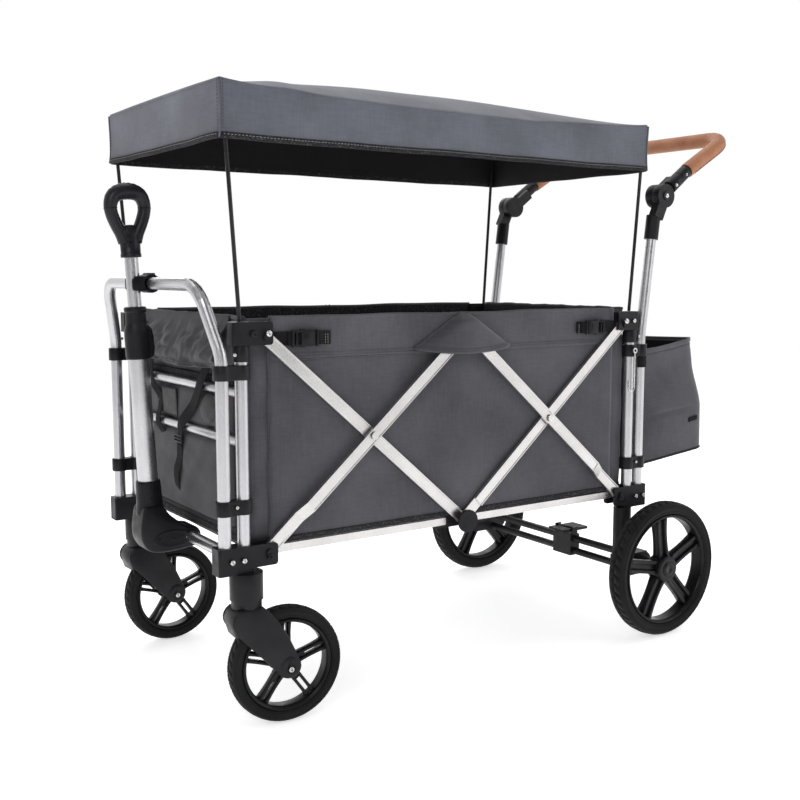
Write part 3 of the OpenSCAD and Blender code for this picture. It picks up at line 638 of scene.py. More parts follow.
cam_data = bpy.data.cameras.new("camera")
cam = bpy.data.objects.new("camera", cam_data)
bpy.context.scene.collection.objects.link(cam)
bpy.context.scene.camera = cam
cam_data.sensor_width = 36
cam_data.lens = 48.07
cam_data.shift_x = -0.01995
cam_data.shift_y = -0.0094
cam_data.clip_end = 50
right = Vector((0.82121, -0.57062, 0.00147)).normalized()
back = -Vector((0.56719, 0.81599, -0.11159)).normalized()
up = back.cross(right).normalized()
right = up.cross(back).normalized()
place = Matrix((right, up, back)).transposed().to_4x4()
place.translation = Vector((-1.3084, -1.8639, 0.7771))
cam.matrix_world = place


def area_light(name, loc, target, size, power):
    d = bpy.data.lights.new(name, "AREA")
    d.shape = "RECTANGLE"
    d.size, d.size_y = size
    d.energy = power
    o = bpy.data.objects.new(name, d)
    o.location = loc
    o.rotation_euler = (Vector(target) - Vector(loc)).to_track_quat("-Z", "Y").to_euler()
    bpy.context.scene.collection.objects.link(o)


area_light("key", (-2.4, -2.2, 2.2), (0, 0, 0.55), (1.6, 1.4), 27)
area_light("fill", (2.4, -2.6, 1.5), (0.1, 0, 0.5), (1.4, 1.8), 17)
area_light("top", (0.2, 0.4, 3.0), (0, 0, 0.5), (2.4, 2.0), 22)
area_light("rear", (0.8, 2.8, 1.8), (0, 0, 0.6), (2.0, 1.6), 18)

bpy.context.scene.view_settings.view_transform = "Standard"
world = bpy.data.worlds.new("studio")
bpy.context.scene.world = world
world.use_nodes = True
wt = world.node_tree
wb = wt.nodes["Background"]
where = wt.nodes.new("ShaderNodeTexCoord")
facing = wt.nodes.new("ShaderNodeVectorMath")
facing.operation = "DOT_PRODUCT"
facing.inputs[1].default_value = (0.567, 0.816, 0.0)
tone = wt.nodes.new("ShaderNodeMapRange")
for socket, value in (("From Min", -0.55), ("From Max", 0.45), ("To Min", 0.16), ("To Max", 1.0)):
    tone.inputs[socket].default_value = value
wt.links.new(where.outputs["Generated"], facing.inputs[0])
wt.links.new(facing.outputs["Value"], tone.inputs["Value"])
wt.links.new(tone.outputs["Result"], wb.inputs["Color"])

ground = grid(lambda u, v: (lerp(-7, 7, u), lerp(-7, 7, v), -0.0005), 24, 24)
fm = Mat("pale_floor").set(spec=0.2)
fm.to("Base Color", fm.mix(fm.noise(3, 2), (0.90, 0.90, 0.90, 1), (0.93, 0.93, 0.93, 1)))
fm.to("Roughness", fm.map(fm.noise(40, 2), 0.75, 0.85))
fm.b.inputs["Emission Color"].default_value = (1, 1, 1, 1)
fm.b.inputs["Emission Strength"].default_value = 0.60
M["floor"] = fm
obj("floor", ground, "floor")

# Body and slot of the pieces that share them, and the sides with the way each caster is turned
CANOPY_CLOTH = ("front_top", "canopy_cloth")
TOP_CLOTH = ("front_top", "body_cloth")
BAG_CLOTH = ("rear_frame", "body_cloth")
BAG_TRIM = ("rear_frame", "black_plastic")
SIDES = ((-1, "left"), (1, "right"))
CASTERS = ((-1, "left", -6), (1, "right", 3))

# ---------------------------------------------------------------- canopy

C_LO, C_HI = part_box("canopy_cover")
C_HALF = C_HI.y
MAX_RISE = 0.036
SIDE_SAG = 0.018


def uneven(n, edge):
    """Places from 0 to 1 with one close to each end."""
    return [0.0, edge] + [edge + (1 - 2 * edge) * i / n for i in range(1, n)] + [1 - edge, 1.0]


def canopy_top(t, s):
    """Height of the stretched roof at t along and s (-1 to 1) across."""
    a = math.sin(PI * clamp(t)) ** 0.6
    sag = -SIDE_SAG * a * abs(s) ** 4 + MAX_RISE * a * (1 - abs(s) ** 3)
    crease = 0.0022 * a * wobble(t * 3.4, s * 2.1, 0, 1.3)
    pucker = 0.005 * math.exp(-((t - 0.13) / 0.035) ** 2 - ((s + 0.86) / 0.20) ** 2)
    pucker -= 0.004 * math.exp(-((t - 0.68) / 0.02) ** 2 - ((s + 0.90) / 0.12) ** 2)
    return C_HI.z - 0.0005 + sag + crease + pucker


def skirt_drift(p, depth):
    """How far a skirt stands out from its plane, at a share of its depth."""
    w = 0.0035 * wobble(p.x * 5.2, p.y * 6.4, depth * 1.2, 0.4)
    return (w - 0.004 * math.sin(PI * depth)) * depth


def make_canopy():
    ts, ss = uneven(44, 0.006), uneven(26, 0.011)
    nt, ns = len(ts), len(ss)
    inset = 0.0015
    verts = []
    for s in ss:
        for t in ts:
            y = lerp(-1, 1, s)
            verts.append(Vector((lerp(C_LO.x + inset, C_HI.x - inset, t), y * (C_HALF - inset),
                                 canopy_top(t, y))))
    faces = [(j * nt + i, j * nt + i + 1, (j + 1) * nt + i + 1, (j + 1) * nt + i)
             for j in range(ns - 1) for i in range(nt - 1)]
    loop = border(nt, ns)
    mid_x = (C_LO.x + C_HI.x) / 2

    def outward(p):
        fx = abs(p.x - mid_x) / ((C_HI.x - C_LO.x) / 2)
        fy = abs(p.y) / C_HALF
        n = Vector((math.copysign(1 if fx > 0.9965 else 0, p.x - mid_x),
                    math.copysign(1 if fy > 0.9945 else 0, p.y), 0))
        return n.normalized() if n.length else n

    rows = [0.05, 0.14, 0.28, 0.42, 0.56, 0.70, 0.84, 0.95, 1.0]
    top = [verts[i].copy() for i in loop]
    low_z = C_LO.z
    prev = loop[:]
    rings = [top]
    for d in rows:
        row = []
        for p in top:
            n = outward(p)
            corner = abs(n.x) > 0.3 and abs(n.y) > 0.3
            out = 0.0 if corner else skirt_drift(p, d)
            z = lerp(p.z, low_z + (0.0015 if corner else 0.0012 * wobble(p.x * 9, p.y * 8, 0, 2)), d)
            q = Vector((p.x, p.y, z)) + n * (0.0012 + out)
            row.append(q)
        base = len(verts)
        verts += row
        m = len(row)
        now = list(range(base, base + m))
        faces += [(prev[i], prev[(i + 1) % m], now[(i + 1) % m], now[i]) for i in range(m)]
        prev = now
        rings.append(row)
    o = obj("canopy", (verts, faces), ["canopy", "lining"], *CANOPY_CLOTH,
            out=[(mid_x, 0, C_LO.z)])
    modify(o, "SUBSURF", levels=1, render_levels=1)
    thicken(o, 0.0022, lined=True, offset=-1)
    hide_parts("canopy_cover")
    return o, rings


def soften(loop):
    """Rounds a closed loop of points a little."""
    n = len(loop)
    return [loop[i] * 0.5 + (loop[i - 1] + loop[(i + 1) % n]) * 0.25 for i in range(n)]


canopy, canopy_rings = make_canopy()
rim_loop = [p + Vector((0, 0, 0.0035)) for p in soften(canopy_rings[-1])]
rim_loop = resample(rim_loop + [rim_loop[0]], 0.012)[:-1]
canopy_binding = obj("canopy_binding", sweep(rim_loop, slab(0.0046, 0.011), closed=True),
                     "binding", *CANOPY_CLOTH)


def canopy_out(p):
    n = Vector(((p.x - (C_LO.x + C_HI.x) / 2) / (C_HI.x - C_LO.x), p.y / (2 * C_HALF), 0))
    return Vector((math.copysign(1, n.x), 0, 0)) if abs(n.x) > abs(n.y) else \
        Vector((0, math.copysign(1, n.y), 0))


canopy_stitches = stitches(
    "canopy_binding_stitches",
    [p + canopy_out(p) * 0.0024 + Vector((0, 0, 0.0015)) for p in rim_loop + rim_loop[:1]],
    canopy_out, "thread_pale", "front_top", 0.0030, 0.0034, 0.0008)
welt_loop = [p + Vector((0, 0, 0.0002)) for p in soften(canopy_rings[1])]
canopy_welt = obj("canopy_welt", sweep(welt_loop, ring(0.0010, 6), closed=True), "canopy",
                  *CANOPY_CLOTH)
corner_parts, corner_stitch = [], []
for i, p in enumerate(canopy_rings[-1]):
    if abs(abs(p.y) - C_HALF) < 0.004 and min(abs(p.x - C_LO.x), abs(p.x - C_HI.x)) < 0.003:
        line = [r[i] for r in canopy_rings[1:]]
        corner_parts.append(sweep(line, ring(0.0016, 6), up=(1, 1, 0)))
canopy_seams = obj("canopy_corner_seams", join(corner_parts), "canopy", "front_top",
                   "canopy_cloth")
side_of_corner = 0.006
for sx, cx in ((1, C_LO.x), (-1, C_HI.x)):
    for sy in (-1, 1):
        side = [Vector((cx + sx * side_of_corner, sy * (C_HALF + 0.0005),
                        lerp(C_HI.z - 0.004, C_LO.z + 0.010, k / 12))) for k in range(13)]
        face = [Vector((cx - sx * 0.0005, sy * (C_HALF - side_of_corner), q.z)) for q in side]
        tag = f"{'front' if sx > 0 else 'rear'}_{'right' if sy > 0 else 'left'}"
        a = stitches(f"canopy_seam_side_{tag}", side, (0, sy, 0), "thread_grey", "front_top")
        b = stitches(f"canopy_seam_end_{tag}", face, (-sx, 0, 0), "thread_grey", "front_top")
        corner_stitch += [a, b]
for o in (canopy, canopy_binding, canopy_stitches, canopy_welt, canopy_seams, *corner_stitch):
    gather(o)

# ---------------------------------------------------------------- tub walls

W_LO, W_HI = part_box("side_wall_left")
RIM_Z = W_HI.z
CUFF_Z = 0.630
MID_X = (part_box("top_knuckles")[0].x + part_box("top_knuckles")[1].x) / 2
WALL_Y = 0.2482


def wall_relief(x, z):
    """How far the taut cloth stands out, with pulls towards the middle knuckle and corners."""
    tx = (x - W_LO.x) / (W_HI.x - W_LO.x)
    tz = (z - W_LO.z) / (RIM_Z - W_LO.z)
    out = 0.0016 * math.sin(PI * tx) * math.sin(PI * tz)
    d = (x - MID_X) / 0.16
    out += 0.0022 * math.exp(-d * d) * (1 - tz) * math.cos((x - MID_X) * 62 * (0.35 + tz))
    out += 0.0011 * wobble(x * 7.5 + z * 5, z * 9 - x * 3, 0, 3.1)
    out += 0.0012 * math.exp(-((tx - 0.03) / 0.03) ** 2) * math.sin(z * 40)
    inward = -0.0040 * smooth((x - W_LO.x) / 0.10 - 0.3)
    return max(inward, min(0.0040, out))


def rim_height(x):
    return RIM_Z - 0.0005 + 0.0018 * wobble(x * 6.0, 0.3, 0, 5.2)


def make_wall(side, tag):

    def sheet(u, v):
        x, z = lerp(W_LO.x, W_HI.x, u), lerp(W_LO.z, rim_height(lerp(W_LO.x, W_HI.x, u)), v)
        return Vector((x, side * (WALL_Y + wall_relief(x, z) * 0.9 - 0.0004), z))

    wall = obj(f"tub_side_{tag}", grid(sheet, 110, 54), ["body", "lining"], *TOP_CLOTH,
               out=(0, side, 0))
    thicken(wall, 0.0022, lined=True)
    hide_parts(f"side_wall_{tag}")

    def cuff(u, v):
        x = lerp(W_LO.x + 0.001, W_HI.x - 0.001, u)
        z = lerp(CUFF_Z + 0.001 * wobble(x * 5, 0, 0, 7), rim_height(x) + 0.0012, v)
        y = WALL_Y + 0.0030 + 0.0010 * wobble(x * 9, z * 14, 0, 2.2)
        y += 0.0010 * math.exp(-((z - CUFF_Z) / 0.004) ** 2)
        return Vector((x, side * min(y, 0.2532), z))

    cuff_o = obj(f"tub_cuff_{tag}", grid(cuff, 110, 18), "body", *TOP_CLOTH)
    thicken(cuff_o, 0.0012)
    hem_path = [Vector((lerp(W_LO.x, W_HI.x, i / 90), side * 0.2490,
                        rim_height(lerp(W_LO.x, W_HI.x, i / 90)) - 0.0005)) for i in range(91)]
    hem = obj(f"tub_rim_{tag}", sweep(hem_path, slab(0.0070, 0.0068, 0.003)), "body", *TOP_CLOTH)
    inner = [Vector((p.x, side * 0.2453, p.z - 0.011)) for p in hem_path]
    band = obj(f"tub_inner_band_{tag}", sweep(inner, slab(0.0018, 0.020)), "binding", *TOP_CLOTH)
    rows = []
    for k, dz in enumerate((0.0045, 0.0095)):
        line = [Vector((p.x, side * 0.2523, CUFF_Z + dz)) for p in hem_path]
        rows.append(stitches(f"cuff_stitches_{tag}_{k}", line, (0, side, 0), "thread_grey",
                             "front_top", 0.0036, 0.0022, 0.0009))
    seam = [Vector((p.x, side * 0.2512, CUFF_Z - 0.0008)) for p in hem_path]
    fold_o = obj(f"cuff_fold_{tag}", sweep(seam, slab(0.0020, 0.0022)), "body", *TOP_CLOTH)
    base = [Vector((p.x, side * 0.2496, W_LO.z + 0.003)) for p in hem_path]
    low = obj(f"tub_base_binding_{tag}", sweep(base, slab(0.0040, 0.010)), "binding", *TOP_CLOTH)
    return [wall, cuff_o, hem, band, *rows, fold_o, low]


def flap_point(side, u, v):
    """The tent-shaped flap over the top knuckle: u from -1 to 1 across, v down from its peak."""
    drop = 0.0655 + 0.0100 * (1 - abs(u) ** 2.2)
    half = lerp(0.004, 0.114, v ** 0.97)
    x = MID_X + u * half
    z = RIM_Z + 0.001 - drop * v
    rise = smooth(v / 0.24)
    swell = (1 - abs(u) ** 4) ** 0.8 if abs(u) < 1 else 0.0
    ridge = 0.0015 * math.cos(u * 7.0) * v
    y = 0.2536 + 0.0262 * rise * swell + ridge * swell
    return Vector((x, side * y, z))


def make_flap(side, tag):
    flap = obj(f"knuckle_flap_{tag}", grid(lambda a, b: flap_point(side, lerp(-1, 1, a), b), 44,
            24), "body", *TOP_CLOTH)
    thicken(flap, 0.0016)
    welts = []
    for e in (-1, 1):
        line = [flap_point(side, e * 0.985, k / 14) + Vector((0, side * 0.0012, 0.0006))
                for k in range(15)]
        welts.append(sweep(line, ring(0.0014, 6), up=(0, 1, 0)))
    hem = [flap_point(side, lerp(-1, 1, k / 30), 0.985) + Vector((0, side * 0.0004, 0))
           for k in range(31)]
    welts.append(sweep(hem, slab(0.0034, 0.0052), up=(0, 0, 1)))
    edge = obj(f"knuckle_flap_edge_{tag}", join(welts), "body", *TOP_CLOTH)
    line = [flap_point(side, lerp(-0.97, 0.97, k / 40), 0.90) + Vector((0, side * 0.0010, 0))
            for k in range(41)]
    st = stitches(f"knuckle_flap_stitches_{tag}", line, (0, side, 0), "thread_grey", "front_top")
    return [flap, edge, st]


for side, tag in SIDES:
    for o in make_wall(side, tag):
        gather(o)
    for o in make_flap(side, tag):
        gather(o)


# Buckled straps between the corner brackets and the cuff

STRAP_Y, STRAP_Z = 0.2552, 0.6655

def strap_buckle(tag, x0, x1, side, body):
    """A side-release buckle on webbing from x0 at the bracket to the sewn end at x1."""
    way = 1 if x1 > x0 else -1
    end = abs(x1 - x0)

    def at(d, out, z=0.0):
        """A point along the strap, standing out from the cuff."""
        return Vector((x0 + way * d, side * (STRAP_Y + out), STRAP_Z + z))

    runs = ((0.0006, ((0, -0.0012), (0.010, -0.0008), (0.024, 0), (0.040, 0.0022))),
            (0, ((0.030, 0.0036), (0.046, 0.0030), (0.062, 0.0050))),
            (0, ((0.078, 0.0045), (0.088, 0.0012), (0.096, 0), (end, 0))),
            (0, ((0.084, 0.0060), (0.092, 0.0030), (0.100, 0.0018))))
    webs = [sweep([at(d, out, ripple * math.sin(d * 60)) for d, out in run], slab(0.0013, 0.0235))
            for ripple, run in runs]
    strap = obj(f"corner_strap_{tag}", join(webs), "webbing", body, "black_plastic")
    shapes = [(0.0665, 0.0045, 0, (0.026, 0.0085, 0.0275), 0.0024, 3)]
    for dz in (-0.0118, 0.0118):
        shapes += [(0.0485, 0.0045, dz, (0.022, 0.0055, 0.0036), 0.0014, 2),
                   (0.0575, 0.0045, dz * 1.12, (0.012, 0.0065, 0.0048), 0.0018, 2)]
    shapes += [(0.0385, 0.0045, 0, (0.0042, 0.0065, 0.029), 0.0016, 2),
               (0.0455, 0.0045, 0, (0.0034, 0.0065, 0.029), 0.0014, 2),
               (0.0855, 0.0045, 0, (0.0040, 0.0070, 0.029), 0.0016, 2),
               (0.0800, 0.0045, 0, (0.0030, 0.0060, 0.027), 0.0012, 2),
               (0.0665, 0.0080, 0, (0.015, 0.0030, 0.016), 0.0012, 2)]
    blocks = [block(at(d, out, z), size, r, seg) for d, out, z, size, r, seg in shapes]
    buckle = obj(f"corner_buckle_{tag}", join(blocks), "plastic", body, "black_plastic")
    if body == "rear_top":
        gather(strap)
        gather(buckle)
    for dx in (0.006, 0.011):
        line = [at(end - dx, 0.0009, -0.0105 + 0.021 * k / 6) for k in range(7)]
        sewn = stitches(f"strap_stitch_{tag}_{int(dx * 1000)}", line, (0, side, 0), "thread_pale",
                        body, 0.0026, 0.0018, 0.0009)
        if body == "rear_top":
            gather(sewn)


for side, tag in SIDES:
    strap_buckle(f"front_{tag}", W_LO.x + 0.001, W_LO.x + 0.116, side, "front_top")
    strap_buckle(f"rear_{tag}", W_HI.x - 0.001, W_HI.x - 0.110, side, "rear_top")

# ---------------------------------------------------------------- end walls and corner cloth

F_LO, F_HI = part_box("front_wall")
R_LO, R_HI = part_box("rear_wall")


def make_end(name, body, x_mid, way, node):
    """An end wall. way is -1 where its outside faces the front."""
    half = F_HI.y

    def sheet(u, v):
        y, z = lerp(-half, half, u), lerp(F_LO.z, RIM_Z - 0.001, v)
        out = 0.0030 * math.sin(PI * u) * math.sin(PI * v) + 0.0016 * wobble(y * 11, z * 13, 0, 4)
        return Vector((x_mid + way * min(0.0042, out), y, z))

    wall = obj(f"tub_{name}", grid(sheet, 50, 46), ["body", "lining"], body, "body_cloth",
               out=(way, 0, 0))
    thicken(wall, 0.0022, lined=True)
    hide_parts(node)
    hem = [Vector((x_mid + way * 0.0006, lerp(-half, half, i / 50),
                   RIM_Z - 0.0005 + 0.0012 * wobble(i * 0.3, 1))) for i in range(51)]
    obj(f"tub_rim_{name}", sweep(hem, slab(0.0066, 0.0070, 0.003)), "body", body, "body_cloth")
    line = [Vector((p.x - way * 0.0032, p.y, p.z - 0.011)) for p in hem]
    obj(f"tub_inner_band_{name}", sweep(line, slab(0.0018, 0.020)), "binding", body, "body_cloth")
    low = [Vector((x_mid + way * 0.0014, lerp(-half, half, i / 30), F_LO.z + 0.0115))
           for i in range(31)]
    obj(f"tub_base_binding_{name}", sweep(low, slab(0.0044, 0.013)), "binding", body, "body_cloth")
    x_side = W_LO.x if way < 0 else W_HI.x
    for side, tag in SIDES:
        xs = [x_mid - way * 0.0002, x_mid - way * 0.0030, x_mid - way * 0.012,
              lerp(x_mid, x_side, 0.75), x_side - way * 0.0006, x_side + way * 0.0006]
        ys = [half - 0.001, half + 0.0035, half + 0.0052, half + 0.0054, half + 0.0064, half + 0.0125]

        def corner(u, v):
            z = lerp(0.3235, RIM_Z - 0.001, v)
            k = min(len(xs) - 2, int(u * (len(xs) - 1)))
            t = u * (len(xs) - 1) - k
            middle = smooth((z - 0.33) / 0.03) * smooth((0.648 - z) / 0.02)
            belly = 0.0035 * math.sin(PI * u) * middle * (1 + 0.5 * math.sin(z * 55))
            return Vector((lerp(xs[k], xs[k + 1], t), side * (lerp(ys[k], ys[k + 1], t) + belly), z))

        c = obj(f"tub_corner_{name}_{tag}", grid(corner, 20, 44), ["body", "lining"], body,
                "body_cloth", out=(way, side, 0))
        thicken(c, 0.0018, lined=True)
        gather(c)


make_end("front", "front_top", (F_LO.x + F_HI.x) / 2, -1, "front_wall")
make_end("rear", "rear_top", (R_LO.x + R_HI.x) / 2, 1, "rear_wall")

# ---------------------------------------------------------------- front flap, pocket and straps

FX = F_LO.x


def front_flap(u, v):
    y = lerp(lerp(-0.190, -0.176, v), lerp(0.200, 0.178, v), u)
    z = RIM_Z + 0.002 - 0.090 * v - 0.004 * math.sin(PI * u) * v
    x = FX - 0.0030 - 0.022 * smooth(v) - 0.004 * math.sin(PI * v)
    fold = abs(wobble(y * 13 + z * 17, z * 19 - y * 7, 0, 1.1)) + 0.5 * abs(wobble(y * 31,
            z * 27 + y * 11, 0, 4.0))
    x -= 0.0085 * fold * smooth(v * 2)
    x += 0.010 * smooth((v - 0.80) / 0.2) * (0.5 + 0.5 * math.sin(u * 11))
    return Vector((min(x, FX - 0.0030), y, z))


flap_o = obj("front_flap", grid(front_flap, 60, 26), "front_cloth", *TOP_CLOTH)
thicken(flap_o, 0.0018)
edge = ([front_flap(0.004, k / 12) for k in range(13)]
        + [front_flap(k / 40, 0.995) for k in range(1, 40)]
        + [front_flap(0.996, 1 - k / 12) for k in range(13)])
obj("front_flap_edge", sweep(edge, ring(0.0022, 6), up=(1, 0, 0)), "front_cloth", *TOP_CLOTH)
stitches("front_flap_stitches", [front_flap(0.03 + 0.94 * k / 60, 0.93) + Vector((-0.0012, 0, 0))
        for k in range(61)], (-1, 0, 0), "thread_grey", "front_top")


def grommet(centre, ry, rz, name):
    """An oval metal ring on the front flap, with a dark disc of painted shade filling its hole."""
    path = [centre + Vector((0, ry * math.cos(a), rz * math.sin(a))) for a in turns(28)]
    flat_ring = [(a * 1.7, b) for a, b in ring(0.0013, 8)]
    obj(name, sweep(path, flat_ring, up=(1, 0, 0), closed=True), "zinc", "front_top", "aluminium")

    def disc(u, w):
        return centre + Vector((0.0004, ry * w * 0.95 * math.cos(2 * PI * u),
                                rz * w * 0.95 * math.sin(2 * PI * u)))

    # The disc is painted shade: a dark sheet where the hole would show the shaded space behind the
    # flap.
    obj(name + "_shade_disc", grid(disc, 20, 3, True), "lining", *TOP_CLOTH)


off_flap = Vector((-0.0022, 0, 0))
grommet(front_flap(0.765, 0.80) + off_flap, 0.0042, 0.0070, "front_grommet")
grommet(front_flap(0.93, 0.30) + off_flap, 0.0030, 0.0034, "front_snap")


def front_pocket(u, v):
    y = lerp(-0.205, 0.205, u)
    z = lerp(0.338, 0.592, v)
    clear = max(0.0, 1 - ((z - 0.577) / 0.017) ** 2) + max(0.0, 1 - ((z - 0.494) / 0.017) ** 2)
    full = math.sin(PI * clamp(u)) ** 0.4 * math.sin(PI * clamp(v * 0.92 + 0.04)) ** 0.6
    out = 0.0018 + 0.0135 * full * (1 - clamp(clear))
    out += 0.0020 * wobble(y * 16, z * 22, 0, 6) * (1 - clamp(clear)) * full
    return Vector((FX - max(0.0012, out) - 0.0008, y, z))


pocket = obj("front_pocket", grid(front_pocket, 72, 60), "front_cloth", *TOP_CLOTH)
thicken(pocket, 0.0016)
pocket_edge = obj("front_pocket_binding", sweep([front_pocket(k / 60, 0.992)
        + Vector((-0.0006, 0, 0)) for k in range(61)], slab(0.0032, 0.014)), "binding", *TOP_CLOTH)
piping = obj("front_base_piping", sweep([Vector((FX - 0.004, lerp(-0.22, 0.22, k / 30), 0.3335))
        for k in range(31)], slab(0.0046, 0.012)), "binding", *TOP_CLOTH)
for o in (pocket, pocket_edge, piping):
    gather(o)

RUNG_X = -0.54075
RUNG_OUT = RUNG_X - 0.0098


def web(name, pts, w):
    """A strap through points. Its width lies across the path, in the end wall's plane."""
    line = resample(smooth_path(pts), 0.008)
    obj(name, sweep(line, slab(w, 0.0014), up=(-1, 0, 0)), "webbing", "front_frame", "black_plastic")


def between(a, b, c, d, t):
    """The point at t between b and c on a Catmull-Rom line through four points."""
    return 0.5 * ((2 * b) + (c - a) * t + (2 * a - 5 * b + 4 * c - d) * t * t
                  + (3 * b - a - 3 * c + d) * t ** 3)


def smooth_path(pts, n=8):
    """A Catmull-Rom line through points."""
    p = [Vector(q) for q in pts]
    p = [p[0] * 2 - p[1]] + p + [p[-1] * 2 - p[-2]]
    out = []
    for i in range(1, len(p) - 2):
        for k in range(n):
            t = k / n
            a, b, c, d = p[i - 1], p[i], p[i + 1], p[i + 2]
            out.append(between(a, b, c, d, t))
    out.append(p[-2])
    return out


web("front_strap_right_side", [(FX - 0.016, 0.140, 0.622), (RUNG_OUT - 0.001, 0.128, 0.590),
        (RUNG_OUT - 0.0010, 0.120, 0.566), (RUNG_X + 0.001, 0.108, 0.535),
        (RUNG_OUT - 0.001, 0.096, 0.500), (RUNG_OUT, 0.092, 0.486), (FX - 0.010, 0.088, 0.462)],
    0.025)
web("front_strap_left_side", [(FX - 0.016, -0.128, 0.620), (RUNG_OUT - 0.001, -0.112, 0.590),
        (RUNG_OUT - 0.0010, -0.096, 0.566), (RUNG_X - 0.005, -0.056, 0.534),
        (RUNG_OUT - 0.002, -0.022, 0.503), (RUNG_OUT - 0.0012, -0.012, 0.486),
        (RUNG_X - 0.006, 0.000, 0.466)], 0.025)
web("front_strap_tail", [(RUNG_X - 0.006, 0.002, 0.462), (RUNG_X - 0.004, 0.010, 0.430),
        (FX - 0.019, 0.024, 0.400), (FX - 0.012, 0.034, 0.372), (FX - 0.006, 0.040, 0.352)], 0.026)
b = [block((RUNG_X - 0.0085, 0.001, 0.464), (0.0050, 0.034, 0.0042), 0.0016),
     block((RUNG_X - 0.0085, 0.001, 0.476), (0.0050, 0.034, 0.0042), 0.0016),
     block((RUNG_X - 0.0085, -0.0145, 0.470), (0.0050, 0.0042, 0.016), 0.0016),
     block((RUNG_X - 0.0085, 0.0165, 0.470), (0.0050, 0.0042, 0.016), 0.0016),
     block((RUNG_X - 0.0095, 0.001, 0.470), (0.0034, 0.031, 0.0030), 0.0012)]
obj("front_strap_buckle", join(b), "plastic", "front_frame", "black_plastic")


def ball_pouch(u, v):
    a, r = 2 * PI * u, v
    rad = 0.036 * r
    dome = math.sqrt(max(0.0, 1 - r * r))
    return Vector((FX - 0.0040 - 0.0165 * dome - 0.0006 * math.cos(a * 9) * (1 - dome),
                   -0.112 + rad * math.cos(a) * 1.05, 0.535 + rad * math.sin(a) * 0.86))


pouch = obj("front_mesh_pouch", grid(ball_pouch, 48, 14, True), "pouch", *TOP_CLOTH)
pouch_rim = obj("front_mesh_pouch_rim", sweep([ball_pouch(k / 48, 0.985) + Vector((-0.0012, 0, 0))
        for k in range(48)], ring(0.0016, 6), up=(1, 0, 0), closed=True), "binding", *TOP_CLOTH)


def tab_panel(u, v):
    y, z = lerp(0.018, 0.086, u), lerp(0.510, 0.560, v)
    return Vector((FX - 0.0165 - 0.002 * math.sin(PI * u) * math.sin(PI * v), y + 0.006 * (v - 0.5), z))


tabp = obj("front_pocket_tab", grid(tab_panel, 14, 12), "pouch", *TOP_CLOTH)
thicken(tabp, 0.0022)
tab_edge = obj("front_pocket_tab_edge", sweep([tab_panel(k / 12, 0) for k in range(13)]
        + [tab_panel(1, k / 10) for k in range(1, 11)] + [tab_panel(1 - k / 12, 1)
        for k in range(1, 13)] + [tab_panel(0, 1 - k / 10) for k in range(1, 10)], ring(0.0018, 6),
        up=(1, 0, 0), closed=True), "binding", *TOP_CLOTH)
for o in (pouch, pouch_rim, tabp, tab_edge):
    gather(o)

# ---------------------------------------------------------------- floor mats

MAT_NARROW = 0.2312  # half the mats' width between the end walls' corners

for half_name, x_in in (("front", 1), ("rear", -1)):
    lo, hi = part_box(f"floor_board_{half_name}")

    def mat_point(u, v, top):
        x, y = lerp(lo.x + 0.002, hi.x - 0.002, u), lerp(lo.y + 0.004, hi.y - 0.004, v)
        near_wall = u * x_in < (0.12 if x_in > 0 else -0.88)
        if abs(y) > MAT_NARROW and near_wall:
            y = math.copysign(MAT_NARROW, y)
        edge_d = min(u, 1 - u) * (hi.x - lo.x), min(v, 1 - v) * (hi.y - lo.y)
        e = smooth(min(edge_d) / 0.016)
        quilt = abs(math.sin(PI * 3 * u)) ** 0.35 * abs(math.sin(PI * 4 * v)) ** 0.35
        z = hi.z - 0.0045 + 0.0042 * e * (0.45 + 0.55 * quilt) if top else lo.z + 0.0006
        return Vector((x, y, z))

    n1, n2 = 60, 80
    tv, tf = grid(lambda a, b_: mat_point(a, b_, True), n1, n2)
    uv, uf = grid(lambda a, b_: mat_point(a, b_, False), n1, n2)
    off = len(tv)
    rim = border(n1 + 1, n2 + 1)
    side_f = [(rim[i], rim[(i + 1) % len(rim)], rim[(i + 1) % len(rim)] + off, rim[i] + off)
              for i in range(len(rim))]
    mat_o = obj(f"floor_mat_{half_name}", (tv + uv, tf + [tuple(q + off for q in g) for g in uf]
            + side_f), "mat_cloth", f"{half_name}_floor", "body_cloth")
    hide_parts(f"floor_board_{half_name}")

# ---------------------------------------------------------------- rear bag

B_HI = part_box("rear_bag")[1]
BAG_X0 = 0.41425
BAG_HALF = 0.1985
BAG_TOP = 0.6275


def bag_rear(z):
    """The bag's rear edge, from the CAD outline's heights."""
    pts = [(0.345, B_HI.x - 0.006), (0.375, B_HI.x - 0.001), (0.470, B_HI.x - 0.003),
           (0.571, B_HI.x - 0.0365), (0.629, B_HI.x - 0.0470)]
    for (z0, x0), (z1, x1) in zip(pts, pts[1:]):
        if z <= z1:
            return lerp(x0, x1, smooth(clamp((z - z0) / (z1 - z0))) * 0.5
                        + 0.5 * clamp((z - z0) / (z1 - z0)))
    return pts[-1][1]


